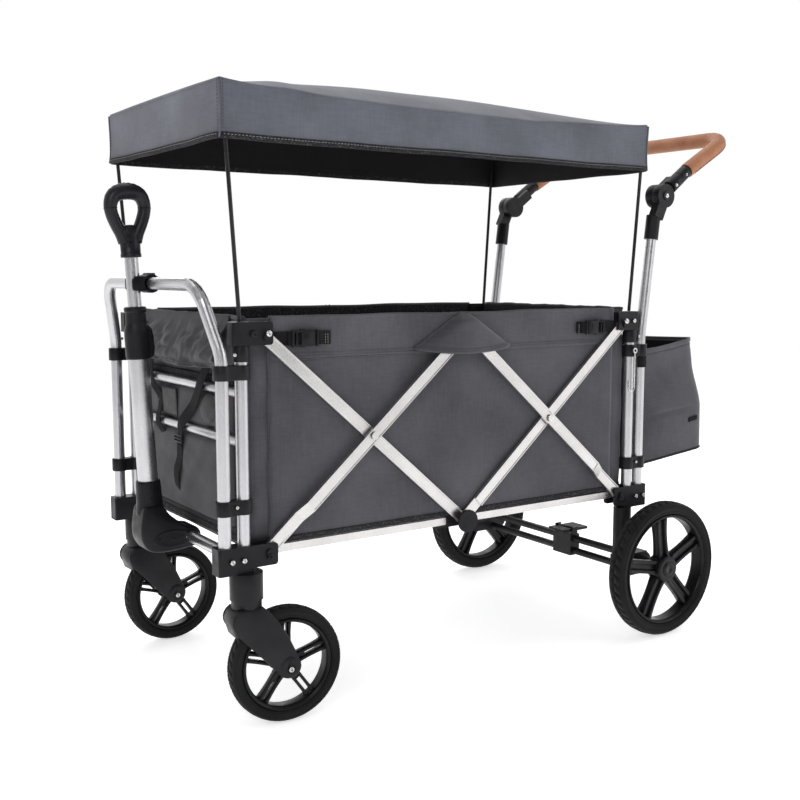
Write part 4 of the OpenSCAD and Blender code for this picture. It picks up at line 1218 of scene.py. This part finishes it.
def bag_ring(v, n):
    """One level of the bag, from its bottom (v 0) to its mouth (v 1)."""
    pts = []
    r = 0.022
    for i in range(n):
        a = i / n * 4
        k, t = int(a), a - int(a)
        lo_x, hy = BAG_X0 + 0.0015, BAG_HALF
        corner = [(0, -1), (1, -1), (1, 1), (0, 1)]
        (ax, ay), (bx, by) = corner[k], corner[(k + 1) % 4]
        fx, fy = lerp(ax, bx, t), lerp(ay, by, t)
        base_z = lerp(0.343, 0.369, fx)
        top_z = lerp(0.6035, BAG_TOP, fx) - 0.006 * math.sin(PI * t) * (1 if k in (0, 2) else 0.8)
        z = lerp(base_z, top_z, v)
        hi_x = bag_rear(z)
        x = lerp(lo_x, hi_x, fx)
        taper = 1 - 0.012 * fx
        y = fy * hy * taper
        # sides pull in between the corners, and the cloth bellies low down
        belly = math.sin(PI * t) * (0.006 * math.sin(PI * min(1, v * 1.25)) - 0.007 * v * v)
        wig = 0.0022 * wobble(x * 17 + k, z * 15, y * 13, 2.7) * math.sin(PI * t) * (0.3 + v * 0.7)
        out = belly + wig
        crease = -0.0050 * math.exp(-((v - 0.37 - 0.03 * math.sin(3 * t)) / 0.018) ** 2)
        out += crease * math.sin(PI * t)
        if k == 0:
            y -= min(out, 0.004)
        elif k == 2:
            y += min(out, 0.004)
        elif k == 1:
            x += min(out, 0.004)
        else:
            x += 0.0005
        # round the four upright corners
        cx = min(max(x, lo_x + r * 0.4), hi_x - r)
        cy = min(max(y, -hy + r), hy - r)
        dx, dy = x - cx, y - cy
        if fx > 0.5 and abs(dx) > 1e-6 and abs(dy) > 1e-6:
            d = max(abs(dx), abs(dy))
            q = math.hypot(dx, dy)
            x, y = cx + dx / q * d, cy + dy / q * d
        pts.append(Vector((x, y, z)))
    return pts


nb, nr = 96, 40  # points round the bag, levels up it
verts, faces = [], []
for j in range(nr + 1):
    verts += bag_ring(j / nr, nb)
for j in range(nr):
    faces += [(j * nb + i, j * nb + (i + 1) % nb, (j + 1) * nb + (i + 1) % nb, (j + 1) * nb + i)
              for i in range(nb)]
bottom_rows = 6
prev = list(range(nb))
centre = sum((verts[i] for i in range(nb)), Vector()) / nb
for k in range(1, bottom_rows):
    t = k / bottom_rows
    base = len(verts)
    for i in range(nb):
        p = verts[i].lerp(centre, t)
        p.z -= 0.004 * math.sin(PI * t * 0.5)
        verts.append(p)
    now = list(range(base, base + nb))
    faces += [(prev[i], now[i], now[(i + 1) % nb], prev[(i + 1) % nb]) for i in range(nb)]
    prev = now
faces.append(tuple(prev))
bag = obj("rear_bag_shell", (verts, faces), ["body", "lining"], *BAG_CLOTH,
          out=[(BAG_X0 + 0.10, 0, 0.5)])
thicken(bag, 0.0024, lined=True, offset=-1)
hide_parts("rear_bag")
mouth = bag_ring(0.988, nb)
obj("rear_bag_rim", sweep(mouth, slab(0.0048, 0.0105), closed=True), "body", *BAG_CLOTH)
foot = [p + Vector((0, 0, -0.001)) for p in bag_ring(0.004, nb)]
obj("rear_bag_piping", sweep(foot, ring(0.0027, 8), closed=True), "binding", *BAG_CLOTH)
for side, tag in SIDES:
    tz = 0.437
    tx = bag_rear(tz)
    tab = obj(f"rear_bag_tab_{tag}", grid(lambda a, b_: Vector((tx - 0.056 + 0.030 * a,
            side * (BAG_HALF + 0.0030 - 0.0012 * a), tz - 0.005 + 0.010 * b_ + 0.004 * a)), 8, 3),
              "webbing", *BAG_TRIM)
    thicken(tab, 0.0018)
    # the loop round the push tube
    lz = 0.5875
    px, py = 0.39925, 0.252
    arc = [Vector((px + 0.0138 * math.cos(a), side * (py + 0.0138 * math.sin(a)), lz))
           for a in [lerp(-0.62 * PI, 0.95 * PI, k / 20) for k in range(21)]][::-1]
    arc = [Vector((px - 0.012, side * (py + 0.0075), lz))] + arc[1:-1]
    tail = [Vector((px + 0.006, side * (py - 0.020), lz)), Vector((BAG_X0 + 0.010,
            side * (BAG_HALF + 0.012), lz)), Vector((BAG_X0 + 0.022, side * (BAG_HALF + 0.0035),
            lz)), Vector((BAG_X0 + 0.046, side * (BAG_HALF + 0.0032), lz))]
    obj(f"rear_bag_loop_{tag}", sweep(arc + tail, slab(0.0016, 0.024), up=(0, 0, 1)), "webbing",
        *BAG_TRIM)
    stitches(f"rear_bag_loop_stitch_{tag}", [tail[2] + Vector((0.012, side * 0.0010,
            -0.010 + 0.020 * k / 5)) for k in range(6)], (0, side, 0), "thread_pale", "rear_frame",
             0.0026, 0.0018, 0.0009)
seam_line = bag_ring(0.955, nb)
stitches("rear_bag_rim_stitches", [p + Vector((p.x - 0.5, p.y, 0)).normalized() * 0.0012
        for p in seam_line], lambda p: Vector((p.x - 0.5, p.y, 0)), "thread_grey", "rear_frame")

# ---------------------------------------------------------------- push grip in leather

G_LO, G_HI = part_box("push_grip")
GRIP_R = 0.0162
PUSH_LEAN = math.radians(37)
PUSH_PIVOT = Vector((0.45225, 0, 0.941))
POST_Y = 0.252


def grip_line():
    """The middle line of the push grip, repeated from the CAD source in metres."""
    l1 = Vector((0.088 * math.cos(PUSH_LEAN), POST_Y, 0.088 * math.sin(PUSH_LEAN)))
    l2 = Vector((0.213, POST_Y, 0.138))
    start = l1 + 0.055 * (l2 - l1)
    pts = [start, l2, Vector((l2.x, -l2.y, l2.z)), Vector((start.x, -start.y, start.z))]
    out = [pts[0]]
    for i in (1, 2):
        u = (pts[i] - pts[i - 1]).normalized()
        w = (pts[i + 1] - pts[i]).normalized()
        turn = math.acos(u.dot(w))
        n = (w - u * u.dot(w)).normalized()
        r = 0.055
        c = pts[i] - u * (r * math.tan(turn / 2)) + n * r
        out += [c + (u * math.sin(turn * k / 14) - n * math.cos(turn * k / 14)) * r for k in range(15)]
    out.append(pts[3])
    return [p + PUSH_PIVOT for p in out]


gl = resample(grip_line(), 0.007)
GRIP_UP = (-math.sin(PUSH_LEAN), 0, math.cos(PUSH_LEAN))
section = []
for i in range(28):
    a = 2 * PI * i / 28
    r = GRIP_R * (1 - 0.045 * math.exp(-((a - PI * 1.25) / 0.10) ** 2))
    section.append((r * math.cos(a), r * math.sin(a)))


def grip_swell(t):
    ends = min(t, 1 - t) * 90
    return 0.955 + 0.045 * smooth(ends / 1.4)


grip = obj("push_grip_leather", sweep(gl, section, up=GRIP_UP, scale=grip_swell), "leather",
           "push_handle", "grip_leather")
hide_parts("push_grip")
fr = frames(gl, GRIP_UP)
for k, ang in enumerate((PI * 1.25 - 0.11, PI * 1.25 + 0.11)):
    line = [p + (s * math.cos(ang) + u * math.sin(ang)) * (GRIP_R * 1.002) for p, d, s, u in fr[2:-2]]
    mid = Vector((G_LO.x, 0, (G_LO.z + G_HI.z) / 2))
    stitches(f"push_grip_stitches_{k}", line, lambda p: (p - mid), "thread_tan", "push_handle",
             0.0042, 0.0022, 0.0011)

# ---------------------------------------------------------------- wheels

def wheel_frame(centre, turn):
    """Maps local (x, y, z), y along the axle, to the row frame at rest."""
    c, s = math.cos(math.radians(turn)), math.sin(math.radians(turn))
    return lambda p: Vector((centre[0] + p[0] * c - p[1] * s, centre[1] + p[0] * s + p[1] * c,
                             centre[2] + p[2]))


def make_tyre(name, node, body, place, r, w, h, blocks):
    """A round-shouldered tyre with slanted tread blocks and rings on its sides."""
    ri, hw = r - h, w / 2
    crown = r - 0.0014
    prof = arc_profile([(ri, hw * 0.62), (ri + h * 0.16, hw * 0.86), (ri + h * 0.55, hw),
                        (crown - h * 0.10, hw * 0.90), (crown, hw * 0.46), (crown + 0.0004, 0),
                        (crown, -hw * 0.46), (crown - h * 0.10, -hw * 0.90), (ri + h * 0.55, -hw),
                        (ri + h * 0.16, -hw * 0.86), (ri, -hw * 0.62)], 4)
    prof.append((ri - 0.0012, 0))
    parts = [lathe(prof, 96, place)]
    for ring_r in (ri + h * 0.26, ri + h * 0.62):
        for s in (-1, 1):
            y = s * (hw * (0.905 if ring_r < ri + h * 0.5 else 0.992))
            path = [place((ring_r * math.cos(a), y, ring_r * math.sin(a))) for a in
                    turns(96)]
            axis = place((0, 1, 0)) - place((0, 0, 0))
            parts.append(sweep(path, ring(0.0007, 5), up=axis, closed=True))
    for i in range(blocks):
        a0 = 2 * PI * i / blocks
        pitch = 2 * PI / blocks
        for side in (-1, 1):
            shift = 0.5 * pitch if side > 0 else 0
            rows = []
            for k, (yy, lift) in enumerate(((0.045, 0.0), (0.30, 0.0), (0.62, -0.0010),
                    (0.90, -0.0078))):
                lean = pitch * 0.55 * yy
                ca = a0 + shift + lean
                half = pitch * (0.41 if k < 3 else 0.36)
                rr = r + lift - (0.0004 if k else 0.0)
                rows.append([(rr, ca - half, yy), (rr, ca + half, yy)])
            verts, faces = [], []
            for (p, q) in rows:
                for rr, ca, yy in (p, q):
                    for d in (0, -0.0040):
                        verts.append(place(((rr + d) * math.cos(ca), side * yy * hw,
                                            (rr + d) * math.sin(ca))))
            for k in range(3):
                b0, b1 = k * 4, (k + 1) * 4
                faces += [(b0, b0 + 2, b1 + 2, b1), (b0 + 1, b1 + 1, b1 + 3, b0 + 3),
                          (b0, b1, b1 + 1, b0 + 1), (b0 + 2, b0 + 3, b1 + 3, b1 + 2)]
            faces += [(0, 1, 3, 2), (12, 14, 15, 13)]
            parts.append((verts, faces))
    o = obj(name, join(parts), "rubber", body, "tyre_rubber")
    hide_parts(node)


def spoke(place, r0, r1, ang, off, w0, w1, depth):
    """One spoke with a raised face from r0 to r1, set off its centre line by off."""
    c, s = math.cos(ang), math.sin(ang)
    rows, n = [], 8
    for k in range(n + 1):
        t = k / n
        r, w = lerp(r0, r1, t), lerp(w0, w1, t) + 0.0016 * (abs(2 * t - 1) ** 3)
        face = depth * (1 - 0.25 * math.sin(PI * t)) / 2
        half = [(-w / 2, -face), (-w / 2 + 0.0004, face), (-w / 2 + 0.0014, face + 0.0003),
                (-w / 2 + 0.0020, face)]
        section = half + [(-a, y) for a, y in half[::-1]]
        rows.append([place((r * c - (off + a) * s, y, r * s + (off + a) * c)) for a, y in section])
    return loft(rows)


# Start as a share of the hub, first angle, and per spoke: offset, width at the hub, width at the
# rim, depth as a share of the rim's width, gap to the rim's edge
SPOKES = {
    "double": (0.80, PI / 2, ((-0.0062, 0.0056, 0.0050, 0.62, 0.0070),
                              (0.0062, 0.0056, 0.0050, 0.62, 0.0070),
                              (0, 0.014, 0.012, 0.40, 0.04445))),
    "wide": (0.84, PI / 2 + 0.12, ((-0.0105, 0.0062, 0.0075, 0.66, 0.0070),
                                   (0.0105, 0.0062, 0.0075, 0.66, 0.0070),
                                   (0, 0.019, 0.020, 0.30, 0.0075))),
}


def make_rim(name, node, body, place, r, w, hub_r, hub_w, kind):
    """A moulded rim: channel ring, spokes and hub. kind 'double' has pairs of thin spokes."""
    hw = w / 2
    parts = [turned([(r - 0.0006, -hw), (r - 0.0006, hw), (r - 0.0045, hw),
                     (r - 0.0075, hw * 0.72), (r - 0.0075, -hw * 0.72), (r - 0.0045, -hw)], 2, 96,
                    place)]
    for s in (-1, 1):
        path = [place(((r - 0.0030) * math.cos(a), s * (hw - 0.0002), (r - 0.0030) * math.sin(a)))
                for a in turns(96)]
        axis = place((0, 1, 0)) - place((0, 0, 0))
        parts.append(sweep(path, ring(0.0010, 6), up=axis, closed=True))
    start, first_turn, pattern = SPOKES[kind]
    for a in turns(5):
        for off, w0, w1, depth, gap in pattern:
            parts.append(spoke(place, hub_r * start, r - gap, a + first_turn, off, w0, w1, w * depth))
    hh = hub_w / 2
    parts.append(turned([(0.0045, -hh), (hub_r * 0.90, -hh), (hub_r, -hh * 0.86),
                         (hub_r, hh * 0.86), (hub_r * 0.90, hh), (0.0045, hh)], 3, 48, place))
    o = obj(name, join(parts), "rim", body, "rim_plastic")
    modify(o, "BEVEL", width=0.0005, segments=1, limit_method="ANGLE", angle_limit=0.7)
    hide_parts(node)


for side, tag, turn in CASTERS:
    lo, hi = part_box(f"front_tyre_{tag}")
    c = (lo + hi) / 2
    place = wheel_frame(c, turn)
    make_tyre(f"front_tyre_tread_{tag}", f"front_tyre_{tag}", f"front_wheel_{tag}", place, 0.1025,
              0.036, 0.021, 40)
    make_rim(f"front_rim_spokes_{tag}", f"front_rim_{tag}", f"front_wheel_{tag}", place, 0.0815,
             0.030, 0.018, 0.031, "double")
    lo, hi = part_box(f"rear_tyre_{tag}")
    c = (lo + hi) / 2
    place = wheel_frame(c, 0)
    make_tyre(f"rear_tyre_tread_{tag}", f"rear_tyre_{tag}", f"rear_wheel_{tag}", place, 0.145,
              0.042, 0.027, 46)
    rlo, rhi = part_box(f"rear_rim_{tag}")
    make_rim(f"rear_rim_spokes_{tag}", f"rear_rim_{tag}", f"rear_wheel_{tag}", place, 0.118, 0.034,
             0.028, rhi.y - rlo.y, "wide")
    # hub cap on the outer face
    yc = (rhi.y if side > 0 else rlo.y)
    cap_frame = wheel_frame((c.x, yc, c.z), 0)
    profile = [(0.0006, side * 0.0030), (0.012, side * 0.0030), (0.0155, side * 0.0014),
               (0.0165, -side * 0.0012), (0.0006, -side * 0.0012)]
    obj(f"rear_hub_cap_{tag}", turned(profile, 4, 40, cap_frame), "rim", f"rear_wheel_{tag}",
        "rim_plastic")

# ---------------------------------------------------------------- pull handle grip

LEAN = math.radians(2.8)
FOOT = Vector((-0.61075, 0, 0.392))


def pull(p):
    """Local pull-handle coordinates, z up the tube, to the row frame."""
    return FOOT + Vector((p[0] * math.cos(LEAN) - p[2] * math.sin(LEAN), p[1],
                          p[0] * math.sin(LEAN) + p[2] * math.cos(LEAN)))


GZ = 0.411


def oval(cx, z, rx, ry, n=32, power=2.0):
    pts = []
    for i in range(n):
        a = 2 * PI * i / n
        c, s = math.cos(a), math.sin(a)
        k = (abs(c) ** power + abs(s) ** power) ** (-1 / power)
        pts.append(pull((cx + rx * c * k, ry * s * k, z)))
    return pts


half_loop = [(0.0090, 0.028), (0.0140, 0.042), (0.0220, 0.058), (0.0290, 0.077), (0.0305, 0.093),
             (0.0250, 0.1075), (0.0135, 0.1150), (0.0, 0.1168)]
loop_pts = half_loop + [(-x, z) for x, z in half_loop[-2::-1]]
loop = [Vector((x, 0, GZ + z)) for x, z in loop_pts]
loop = resample(smooth_path(loop, 6), 0.0035)
skin = []
fr = frames(loop, (0, 1, 0))
for i, (p, d, s, u) in enumerate(fr):
    t = i / (len(fr) - 1)
    palm = smooth(1 - abs(t - 0.5) / 0.24)
    low = smooth((abs(t - 0.5) - 0.36) / 0.14)
    rr = 0.0112 + 0.0036 * palm + 0.0010 * low
    ry = 0.0128 + 0.0034 * palm + 0.0008 * low
    ripple = 0.0005 * palm * math.cos(t * 210)
    skin.append([pull(p + s * ((rr + ripple) * math.cos(2 * PI * q / 24))
                      + Vector((0, 1, 0)) * (ry * math.sin(2 * PI * q / 24))) for q in range(24)])
parts = [loft(skin)]
parts.append(loft([oval(0, GZ + z, rx, ry) for z, rx, ry in ((0.0005, 0.0160, 0.0160),
        (0.0005, 0.0176, 0.0172), (0.0015, 0.0182, 0.0178), (0.0065, 0.0182, 0.0178),
        (0.0075, 0.0174, 0.0168), (0.020, 0.0178, 0.0160), (0.032, 0.0190, 0.0146),
        (0.042, 0.0200, 0.0132), (0.050, 0.0186, 0.0120), (0.056, 0.0130, 0.0090),
        (0.058, 0.0060, 0.0045))]))
d_grip = obj("pull_grip_loop", join(parts), "handle", "pull_extension", "black_plastic")
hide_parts("pull_grip")
cuffs = []
for t in (0.285, 0.715):
    i = int(t * (len(skin) - 1))
    cuffs.append(sweep(skin[i], ring(0.0008, 5), up=tuple(pull(fr[i][1]) - pull((0, 0, 0))),
                       closed=True))
obj("pull_grip_palm_edges", join(cuffs), "plastic", "pull_extension", "black_plastic")


def screw(name, at, way, r, body, mat, head=0.0022):
    """A round bolt head with a socket, standing on a face at a point."""
    way = Vector(way).normalized()
    side = way.orthogonal().normalized()
    other = way.cross(side)

    def place(p):
        return Vector(at) + side * p[0] + way * p[1] + other * p[2]

    prof = [(r * 0.30, head * 0.45), (r * 0.42, head * 0.9), (r * 0.62, head),
            (r * 0.88, head * 0.78), (r, head * 0.30), (r, -0.0012), (r * 0.30, -0.0012)]
    socket = [(0.00005, head * 0.42), (r * 0.31, head * 0.42), (r * 0.31, head * 0.2),
              (0.00005, head * 0.2)]
    meshes = [lathe(prof, 20, place), lathe(socket, 6, place)]
    obj(name, join(meshes), mat, body, "aluminium")


for k, z in enumerate((0.026, 0.0375)):
    screw(f"pull_grip_screw_{k}", pull((-0.0050, -0.0145 + 0.001 * k, GZ + z)), (-0.25, -1, 0),
          0.0030, "pull_extension", "plastic")

CL_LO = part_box("pull_collar")[0]
CZ = (CL_LO.z - FOOT.z) / math.cos(LEAN) + 0.0012


def pull_turned(points):
    """A rounded profile turned about the pull tube's axis."""
    return turned(points, 3, 48, lambda p: pull((p[0], p[2], p[1])))


parts = [pull_turned([(0.0180, CZ), (0.0216, CZ), (0.0224, CZ + 0.004), (0.0224, CZ + 0.050),
                      (0.0205, CZ + 0.058), (0.0186, CZ + 0.063), (0.0183, CZ + 0.084),
                      (0.0198, CZ + 0.086), (0.0198, CZ + 0.0935), (0.0125, CZ + 0.0940),
                      (0.0125, CZ + 0.016), (0.0180, CZ + 0.014)])]
rings_b = []
for z, rx, ry, cx in ((0.001, 0.006, 0.009, 0.017), (0.003, 0.0105, 0.0125, 0.0165),
                      (0.010, 0.0125, 0.0140, 0.0165), (0.040, 0.0125, 0.0140, 0.0165),
                      (0.052, 0.0110, 0.0125, 0.0160), (0.060, 0.0070, 0.0090, 0.0150),
                      (0.064, 0.002, 0.003, 0.0150)):
    rings_b.append(oval(cx, CZ + z, rx, ry, 28, 2.6))
parts.append(loft(rings_b))
collar = obj("pull_collar_shell", join(parts), "plastic", "pull_arm", "black_plastic")
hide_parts("pull_collar")
screw("pull_collar_screw", pull((0.0165, -0.0138, CZ + 0.030)), (0, -1, 0), 0.0034, "pull_arm",
      "plastic", 0.0012)

# ---------------------------------------------------------------- caster forks

FORK_PIVOT = (-0.53775, POST_Y)
TR, FR_R, LEG = 0.068, 0.1025, 0.021  # trail, wheel radius, half the gap between the legs
for side, tag, turn in CASTERS:
    place = wheel_frame((FORK_PIVOT[0], side * FORK_PIVOT[1], 0), turn)
    parts = [turned([(0.0060, 0.259), (0.0195, 0.259), (0.0195, 0.2135), (0.0235, 0.210),
                     (0.0245, 0.200), (0.0060, 0.198)], 3, 40, lambda p: place((p[0], p[2], p[1])))]
    leg = [(-0.022, 0.2135), (-0.0300, 0.2060), (-0.0345, 0.1950), (-0.0315, 0.1820),
           (-0.0200, 0.1660), (0.0000, 0.1440), (0.0240, 0.1190), (0.0450, 0.0960),
           (0.0500, 0.0890), (0.0590, 0.0835), (0.0700, 0.0820), (0.0805, 0.0862),
           (0.0870, 0.0950), (0.0885, 0.1040), (0.0855, 0.1140), (0.0770, 0.1330),
           (0.0640, 0.1600), (0.0480, 0.1860), (0.0340, 0.2030), (0.0225, 0.2135)]
    hood = [(-0.022, 0.2135), (-0.0300, 0.2060), (-0.0345, 0.1950), (-0.0315, 0.1820),
            (-0.0262, 0.1660), (-0.0200, 0.1665), (-0.0050, 0.1828), (0.0150, 0.1970),
            (0.0300, 0.2035), (0.0335, 0.2040), (0.0225, 0.2135)]
    leg = [(p.x, p.z) for p in smooth_path([Vector((x, 0, z)) for x, z in leg], 3)]
    parts.append(outline_plate(hood, lambda a, b, c: place((a, c, b)), 0.0530, 0.006))
    for s in (-1, 1):
        parts.append(outline_plate(leg, lambda a, b, c: place((a, s * (LEG + 0.0034) + c, b)),
                0.0066, 0.0028))
        y1 = s * (LEG + 0.0066)
        parts.append(turned([(0.0030, y1 + s * 0.0026), (0.0150, y1 + s * 0.0026),
                             (0.0196, y1 + s * 0.0004), (0.0204, y1 - s * 0.0040),
                             (0.0030, y1 - s * 0.0040)], 3, 40,
                            lambda p: place((TR + p[0], p[1], FR_R + p[2]))))
        parts.append(block(place((TR - 0.0003, y1 + s * 0.0027, FR_R + 0.0052)),
                           (0.0040, 0.0016, 0.0130), 0.0007))
    fork = obj(f"caster_fork_shell_{tag}", join(parts), "fork", f"front_caster_{tag}", "black_plastic")
    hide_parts(f"caster_fork_{tag}")
    for s in (-1, 1):
        at = place((TR, s * (LEG + 0.0092), FR_R - 0.003))
        way = place((0, s, 0)) - place((0, 0, 0))
        screw(f"caster_axle_bolt_{tag}_{'in' if s != side else 'out'}", at, way, 0.0052,
              f"front_caster_{tag}", "zinc", 0.0034)

# ---------------------------------------------------------------- pull base with its side covers

BX, BZ = -0.54075, 0.289
parts = []
profile_pts = [(0.0, -0.020), (-0.030, -0.0235), (-0.060, -0.0235), (-0.080, -0.018),
               (-0.092, 0.000), (-0.0945, 0.022), (-0.0915, 0.045), (-0.088, 0.060),
               (-0.079, 0.064), (-0.056, 0.064), (-0.049, 0.058), (-0.040, 0.046), (-0.026, 0.034),
               (-0.008, 0.0205), (0.010, 0.0172), (0.0195, 0.006), (0.0185, -0.009),
               (0.010, -0.0172)]
outline = [Vector((BX + x, 0, BZ + z)) for x, z in profile_pts]
fine = []
for i in range(len(outline)):
    near = [outline[(i + k - 1) % len(outline)] for k in range(4)]
    fine += [between(*near, k / 4) for k in range(4)]
mid_b = sum(fine, Vector()) / len(fine)
layers = []
for y, shrink in ((-0.0295, 0.005), (-0.0280, 0.0022), (-0.0250, 0.0004), (-0.0215, 0.0),
                  (0.0215, 0.0), (0.0250, 0.0004), (0.0280, 0.0022), (0.0295, 0.005)):
    layers.append([p + (mid_b - p).normalized() * shrink + Vector((0, y, 0)) for p in fine])
parts.append(loft(layers))
parts.append(pull_turned([(0.0183, 0.0065), (0.0212, 0.0065), (0.0222, 0.0020), (0.0234, -0.0340),
        (0.0262, -0.0560), (0.0183, -0.0640)]))
base_o = obj("pull_base_shell", join(parts), "plastic", "pull_arm", "black_plastic")
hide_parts("pull_base")
for k, z in enumerate((-0.004, -0.024)):
    screw(f"pull_socket_screw_{k}", pull((-0.004, -0.0218 - 0.0008 * k, z)), (0, -1, 0), 0.0030,
          "pull_arm", "plastic", 0.0012)
for s, tag in SIDES:
    rings_c = []
    for y, grow in ((0.0285, 1.0), (0.0298, 0.99), (0.0308, 0.94), (0.0312, 0.86), (0.0306, 0.80),
                    (0.0306, 0.2)):
        rings_c.append([Vector((BX - 0.036 + 0.040 * grow * math.cos(a), s * y,
                                BZ + 0.001 + 0.0165 * grow * math.sin(a))) for a in turns(40)])
    obj(f"pull_base_cover_{tag}", loft(rings_c), "plastic", "pull_arm", "black_plastic")
    for k, x in enumerate((-0.062, -0.036, -0.008)):
        screw(f"pull_base_screw_{tag}_{k}", (BX + x, s * 0.0306, BZ + 0.001), (0, s, 0), 0.0036,
              "pull_arm", "zinc" if k == 2 else "plastic", 0.0016)

# ---------------------------------------------------------------- bolts and push joint sleeves

OUT_Y, CLIP_Y, PIVOT_Y = 0.2700, 0.2666, 0.2700 + 0.0046
BOLTS = (
    ("bolt_low_front_a", -0.570, OUT_Y, 0.2975, 0.0046, "zinc", "front_frame", 0.0024),
    ("bolt_low_front_b", -0.5485, OUT_Y, 0.2975, 0.0046, "zinc", "front_frame", 0.0024),
    ("bolt_low_front_pivot", -0.4998, OUT_Y, 0.2975, 0.0058, "plastic", "front_frame", 0.0024),
    ("bolt_low_rear_pivot", 0.3345, OUT_Y, 0.2975, 0.0058, "plastic", "rear_frame", 0.0024),
    ("bolt_low_rear_a", 0.4030, OUT_Y, 0.2975, 0.0044, "zinc", "rear_frame", 0.0024),
    ("bolt_low_rear_b", 0.3800, OUT_Y, 0.2975, 0.0044, "zinc", "rear_frame", 0.0024),
    ("bolt_top_front_pivot", -0.4995, PIVOT_Y, 0.6765, 0.0056, "zinc", "front_top", 0.0024),
    ("bolt_top_front_plug", -0.5245, OUT_Y, 0.6765, 0.0060, "plastic", "front_top", 0.0024),
    ("bolt_top_rear_pivot", 0.3345, PIVOT_Y, 0.6765, 0.0056, "zinc", "rear_top", 0.0024),
    ("bolt_top_rear_plug", 0.3620, OUT_Y, 0.6765, 0.0044, "zinc", "rear_top", 0.0024),
    ("clip_bolt_front_0", -0.5583, CLIP_Y, 0.3885, 0.0030, "zinc", "front_frame", 0.0012),
    ("clip_bolt_rear_0", 0.3815, CLIP_Y, 0.3885 - 0.017, 0.0030, "zinc", "rear_frame", 0.0012),
    ("clip_bolt_front_1", -0.5583, CLIP_Y, 0.6425, 0.0030, "zinc", "front_frame", 0.0012),
    ("clip_bolt_rear_1", 0.3815, CLIP_Y, 0.6425, 0.0030, "zinc", "rear_frame", 0.0012),
)


def sleeve_section():
    """A slightly squared oval, for the sleeves between the push joints and the bar."""
    section = []
    for k, (a, b) in enumerate(ring(0.0142, 28, 0.0150)):
        across = abs(math.cos(k * PI / 14))
        section.append((a * across ** -0.12 if across > 0.2 else a, b))
    return section


for side, tag in SIDES:
    for name, x, y, z, r, mat, body, head in BOLTS:
        screw(f"{name}_{tag}", (x, side * y, z), (0, side, 0), r, body, mat, head)
    cap_lo, cap_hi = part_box(f"push_button_{tag}")
    mid_cap = (cap_lo + cap_hi) / 2
    screw(f"push_button_cap_{tag}", (mid_cap.x, cap_lo.y if side < 0 else cap_hi.y, mid_cap.z),
          (0, side, 0), 0.0046, f"button_{tag}", "zinc", 0.0010)
    aim = Vector((math.cos(PUSH_LEAN), 0, math.sin(PUSH_LEAN)))
    hub = PUSH_PIVOT + Vector((0, side * POST_Y, 0))
    sleeve = [hub + aim * d for d in (0.060, 0.070, 0.0865)]
    sleeve.append(hub + aim * 0.088 + Vector((0.0090, 0, 0.0054)))
    obj(f"push_joint_sleeve_{tag}", sweep(sleeve, sleeve_section(), up=(0, 1, 0)), "plastic",
        "push_handle", "black_plastic")
    for k, d in enumerate((0.040, 0.080)):
        at = hub + aim * d
        screw(f"push_joint_screw_{k}_{tag}", (at.x, side * (0.2652 if k else 0.2668), at.z),
              (0, side, 0), 0.0034, "push_handle", "zinc", 0.0020)

# ---------------------------------------------------------------- handle catch

K_LO, K_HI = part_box("handle_catch")
ARCH = Vector((-0.60075, 0, (K_LO.z + K_HI.z) / 2))
parts = [turned([(0.0112, -0.0200), (0.0150, -0.0200), (0.0168, -0.0180), (0.0168, 0.0180),
                 (0.0150, 0.0200), (0.0112, 0.0200)], 3, 40, lambda p: ARCH + p)]
jaw = [(K_LO.x, K_LO.z + 0.004), (K_LO.x + 0.003, K_LO.z), (ARCH.x - 0.008, K_LO.z),
       (ARCH.x - 0.008, K_HI.z), (K_LO.x + 0.006, K_HI.z), (K_LO.x, K_HI.z - 0.006)]
for y in (-0.01725, 0.01725):
    parts.append(outline_plate(jaw, lambda a, b, c, y=y: Vector((a, y + c, b)), 0.0055, 0.0014))
parts.append(block(ARCH + Vector((0.0135, 0, 0)), (0.0095, 0.0330, 0.0230), 0.0022, 3))
parts.append(block(ARCH + Vector((0.0020, 0, 0.0165)), (0.0150, 0.0240, 0.0045), 0.0018, 3))
catch = obj("handle_catch_clamp", join(parts), "plastic", "front_frame", "black_plastic")
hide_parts("handle_catch")
screw("handle_catch_bolt", ARCH + Vector((0.0125, -0.0165, 0)), (0, -1, 0), 0.0042, "front_frame",
      "zinc", 0.0024)
screw("handle_catch_nut", ARCH + Vector((0.0125, 0.0165, 0)), (0, 1, 0), 0.0042, "front_frame",
      "plastic", 0.0024)
